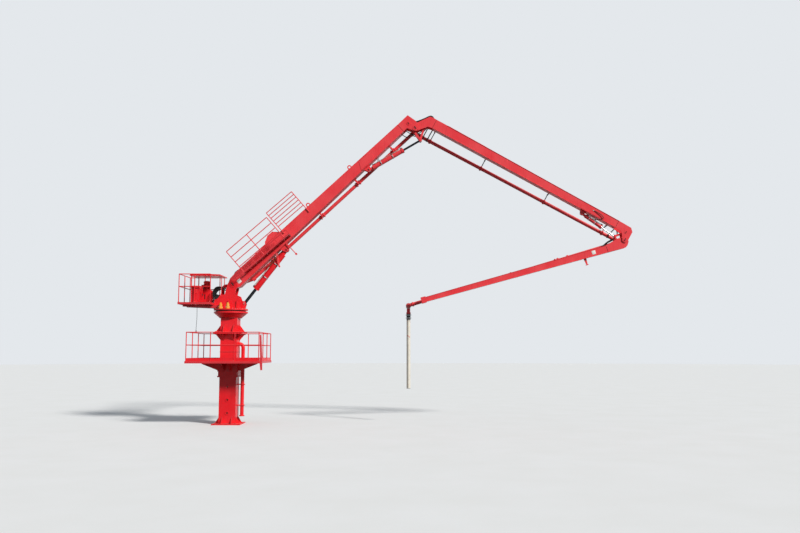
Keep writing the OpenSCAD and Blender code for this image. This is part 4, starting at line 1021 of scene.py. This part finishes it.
def ring_of_points(centre, radius, count):
    ways = [on_circle(1, number * math.tau / count) for number in range(count)]
    return [(Vector(centre) + way * radius, UP, tuple(way)) for way in ways]


bearing_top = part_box("column_head")[1].z
teeth = ring_of_points((0, 0, bearing_top - 0.026), 0.568, 110)
scatter("slewing_gear_teeth", block_tree, teeth, greased_gear, "column",
        block_length=0.030, block_breadth=0.017, block_height=0.040)

motor_x, motor_y = -1.02, 0.25
fins = ring_of_points((motor_x, motor_y, 5.33), 0.131, 40)
scatter("pump_motor_fins", block_tree, fins, red_enamel, "turret",
        block_length=0.022, block_breadth=0.004, block_height=0.20)

RAIL_LINE, SERVICE_FLOOR, PLATE_HALF = 1.36, 2.42, 0.005
rail_posts = []
for quarter in range(4):
    turn = Matrix.Rotation(quarter * math.pi / 2, 3, "Z")
    rail_posts += [turn @ Vector((x, -RAIL_LINE, SERVICE_FLOOR + PLATE_HALF))
                   for x in (-RAIL_LINE, -RAIL_LINE / 3, RAIL_LINE / 3)]
rear_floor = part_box("rear_platform")[1].z
rear_posts = [Vector((x, hand * 0.82, rear_floor + PLATE_HALF))
              for x in (-1.84, -1.24, -0.64) for hand in (-1, 1)]
for name, posts, body in (("service_rail_bases", rail_posts, "column"),
                          ("rear_rail_bases", rear_posts, "turret")):
    bases = [(post, UP, EAST) for post in posts]
    scatter(name, block_tree, bases, red_enamel, body,
            block_length=0.058, block_breadth=0.058, block_height=2 * PLATE_HALF)
    bolts = [(post + Vector((off, off, PLATE_HALF)), UP, EAST) for post in posts for off in (0.022, -0.022)]
    scatter(name + "_bolts", bolt_tree, bolts, zinc_steel, body, head_radius=0.006, head_height=0.005)

# %% [markdown]
# The pump set on the rear platform is a tank with an electric motor standing on it. A ribbed filler cap,
# a fan cowl, a terminal box with its cable gland and the wire guard of the oil cooler are what makes it
# read as one. Round parts are turned from a profile; the guard is a spiral of wire on four spokes.

# %% Pump set fittings
box_x = motor_x - 0.165
shape = bmesh.new()
add_turned(shape, [(0.134, 0.0), (0.138, 0.006), (0.138, 0.055), (0.122, 0.075), (0.060, 0.082),
                   (0.058, 0.090)], (motor_x, motor_y, 5.475), sides=40)
add_block(shape, (box_x, motor_y, 5.36), (0.07, 0.12, 0.10), bevel=0.006)
add_block(shape, (motor_x - 0.203, motor_y, 5.36), (0.008, 0.13, 0.11), bevel=0.002)
add_turned(shape, [(0.015, 0), (0.015, 0.012), (0.011, 0.016), (0.011, 0.030)],
           (box_x, motor_y, 5.311), DOWN, 14)
as_piece("pump_motor_fittings", shape, red_enamel, "turret")

shape = bmesh.new()
cap_spot = (-1.18, 0.12, 5.2393)
add_turned(shape, [(0.040, 0), (0.040, 0.012), (0.052, 0.014), (0.052, 0.040), (0.047, 0.046),
                   (0.020, 0.048)], cap_spot, sides=30)
for number in range(15):
    turn = Matrix.Rotation(number * math.tau / 15, 3, "Z")
    add_block(shape, Vector(cap_spot) + turn @ Vector((0.052, 0, 0.027)), (0.006, 0.008, 0.022), turn, 0.0015)
add_block(shape, (-1.05, 0.0565, 4.93), (0.035, 0.007, 0.20), bevel=0.003)
as_piece("tank_filler_cap", shape, black_enamel, "turret")

# the spiral makes one turn in 20 steps and is left out near its middle
GUARD_RADIUS, GUARD_STEPS = 0.155, 140
fan = Vector((-1.03, 0.723, 4.9203))
spiral = [on_circle(GUARD_RADIUS * step / GUARD_STEPS, step * math.tau / 20)
          for step in range(12, GUARD_STEPS + 1)]
guard_wires = [[fan + Vector((spot.x, 0, spot.y)) for spot in spiral]]
for number in range(4):
    spoke = on_circle(0.162, number * math.pi / 4)
    guard_wires.append([fan + Vector((hand * spoke.x, 0.004, hand * spoke.y)) for hand in (-1, 1)])
sweep("cooler_fan_guard", hose_tree, guard_wires, black_enamel, "turret",
      radius=0.0028, spacing=0.02, sides=6)

cabinet_leads = [[(-1.24 + 0.05 * n, -0.190, 4.76), (-1.235 + 0.05 * n, -0.165, 4.745),
                  (-1.20 + 0.05 * n, -0.10 + 0.02 * n, 4.684), (-1.0, -0.06 + 0.022 * n, 4.671),
                  (-0.82, -0.05 + 0.022 * n, 4.672), (-0.70, -0.05 + 0.03 * n, 4.74),
                  (-0.640, -0.05 + 0.03 * n, 4.81), (-0.597, -0.05 + 0.03 * n, 4.815)] for n in range(3)]
lay_hoses("cabinet_leads", cabinet_leads, 0.008, ("turret",), cable_rubber)

# %% [markdown]
# The control cabinet is folded sheet. Air leaves through pressed louvres in its near side, and its door
# has a quarter-turn handle. Both are small raised forms, and they catch the light as thin bright lines.

# %% Cabinet louvres and door handle
lean = Matrix.Rotation(math.radians(-28), 3, "X")
shape = bmesh.new()
for number in range(7):
    add_block(shape, (-1.25, -0.7515, 5.02 + 0.034 * number), (0.17, 0.013, 0.020), lean, 0.003)
add_block(shape, (-1.25, -0.7505, 5.122), (0.21, 0.003, 0.27), bevel=0.001)
as_piece("cabinet_louvres", shape, red_enamel, "turret")

door_face, handle_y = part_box("cabinet_door")[1].x, -0.245
shape = bmesh.new()
add_block(shape, (door_face + 0.003, handle_y, 4.98), (0.006, 0.045, 0.13), bevel=0.002)
add_turned(shape, [(0.013, 0), (0.013, 0.012), (0.011, 0.014)], (door_face + 0.005, handle_y, 4.99), EAST, 18)
add_block(shape, (door_face + 0.024, handle_y, 4.965), (0.010, 0.016, 0.085), bevel=0.003)
as_piece("cabinet_door_handle", shape, black_enamel, "cabinet_door")

# %% [markdown]
# The square white plates on the arms are enamelled sheet, held by four dome rivets. They are left blank.
# The plates follow the slope of the web they sit on, so they are placed in arm coordinates.

# %% Blank plates and their rivets
rivet_tree, rivet_in = start_tree("dome_rivets", {"Head radius": 0.007})
dome = out(rivet_tree, "GeometryNodeMeshUVSphere",
           {"Segments": 12, "Rings": 6, "Radius": rivet_in["Head radius"]})
low_dome = moved(rivet_tree, dome, Scale=(1.0, 1.0, 0.55))
stand_on_points(rivet_tree, rivet_in, softened(rivet_tree, low_dome))

PLATE_SIZE, PLATE_THICKNESS = 0.150, 0.003
corner = PLATE_SIZE / 2 - 0.016
for arm, run, rise, web in ((1, 0.26, -0.07, 0.210), (3, 1.33, 0.16, 0.130)):
    shape = bmesh.new()
    middle = along(arm, run, rise, -web - PLATE_THICKNESS / 2)
    add_block(shape, middle, (PLATE_SIZE, PLATE_THICKNESS, PLATE_SIZE), arm_turn(arm), 0.0012)
    as_piece(f"arm_{arm}_blank_plate", shape, white_enamel, f"boom_{arm}")
    rivets = [(along(arm, run + a * corner, rise + b * corner, -web - PLATE_THICKNESS), NEAR, EAST)
              for a in (-1, 1) for b in (-1, 1)]
    scatter(f"arm_{arm}_plate_rivets", rivet_tree, rivets, zinc_steel, f"boom_{arm}", head_radius=0.0065)

# %% [markdown]
# At the tip a black rubber cuff joins the elbow and the pale hose, drawn tight by two steel bands. At its
# mouth the hose ends in a rolled lip. The cuff is turned and open inside, so the hose runs through it.

# %% End hose cuff, bands and lip
hose_head = Vector((*hose_centre, hose_high.z))
shape = bmesh.new()
add_turned(shape, [(0.0775, -0.235), (0.0805, -0.225), (0.082, -0.12), (0.0885, -0.035), (0.0885, 0.0),
                   (0.0765, 0.0), (0.0765, -0.235)], hose_head, sides=40, closed=True)
as_piece("end_hose_cuff", shape, black_rubber, "tip_hose")
bands = [(hose_head - Vector((0, 0, drop)), UP, EAST) for drop in (0.045, 0.165)]
scatter("end_hose_bands", clamp_tree, bands, galvanised, "tip_hose", ring_radius=0.090, ring_width=0.020)
lip_centre = Vector((*hose_centre, hose_low.z + 0.004))
lip_ring = [lip_centre + on_circle(0.0705, a * math.tau / 40) for a in range(41)]
sweep("end_hose_lip", hose_tree, [lip_ring], black_rubber, "tip_hose", radius=0.0072, spacing=0.012, sides=10)

# %% [markdown]
# Floors are chequer plate: rolled steel with raised lens shapes, 30 mm apart, each turned across its
# neighbour. They are shallow, so they are drawn in the enamel's bump. The pattern is worked out from
# the place on the floor, and a switch keeps it to faces that look up.

# %% Chequer plate enamel for the floors
def chequer_enamel(name, lean=0.0, pitch=0.034):
    material, place = start_material(name)
    laid = out(material, "ShaderNodeMapping",
               {"Rotation": (0, lean, 0), "Scale": (1 / pitch,) * 3, "Vector": place})
    axes = add(material, "ShaderNodeSeparateXYZ", {"Vector": laid}).outputs

    def sums(operation, *values):
        return maths(material, operation, *values)

    cell = sums("ADD", sums("FLOOR", axes["X"]), sums("FLOOR", axes["Y"]))
    odd = sums("FLOORED_MODULO", cell, 2)
    across, up_down = [sums("SUBTRACT", sums("FRACT", axes[key]), 0.5) for key in ("X", "Y")]
    plus, minus = sums("ADD", across, up_down), sums("SUBTRACT", across, up_down)
    even = sums("SUBTRACT", 1, odd)
    length_way = sums("ADD", sums("MULTIPLY", plus, odd), sums("MULTIPLY", minus, even))
    breadth_way = sums("ADD", sums("MULTIPLY", minus, odd), sums("MULTIPLY", plus, even))
    # near is 1 on the rim of a lens, an oval along one diagonal of its cell
    near = sums("ADD", *[sums("POWER", sums("DIVIDE", sums("ABSOLUTE", way), half), 2)
                         for way, half in ((length_way, 0.62), (breadth_way, 0.17))])
    upward = facing(material)[1]
    lens = sums("MULTIPLY", remap(material, near, 1.0, 0.55), remap(material, upward, 0.6, 0.7))
    patches = remap(material, noise(material, place, 1.6), 0.35, 0.75, 0.0, 0.6)
    base = blend_colour(material, patches, linear("CE202B"), linear("DC3E43"))
    # boots polish the lenses to bare steel where people walk, and dust stays between them
    walked = sums("MULTIPLY", lens, remap(material, noise(material, place, 2.2, 4.0), 0.45, 0.65))
    polished = sums("MULTIPLY", walked, remap(material, upward, 0.6, 0.7, 0.0, 0.75))
    base = blend_colour(material, polished, base, linear("8C8682"))
    dust = sums("MULTIPLY", remap(material, upward, 0.5, 0.9, 0.0, 0.5),
                remap(material, noise(material, place, 7.0, 6.0), 0.3, 0.7))
    base = blend_colour(material, dust, base, linear("C0AFA4"))
    rough = remap(material, dust, 0.0, 0.5, 0.38, 0.7)
    return finish_material(material, {"Base Color": base, "Roughness": rough, "Coat Weight": 0.05,
                                      "Normal": bumped(material, lens, 0.8, 0.003)})


level_tread = chequer_enamel("level_chequer_enamel")
leaning_tread = chequer_enamel("leaning_chequer_enamel", arms[1][1])
for name, tread in (("service_platform", level_tread), ("rear_platform", level_tread),
                    ("boom_1_walkway", leaning_tread)):
    frame["nodes"][name].data.materials[0] = tread
print("chequer plate on 3 floors")
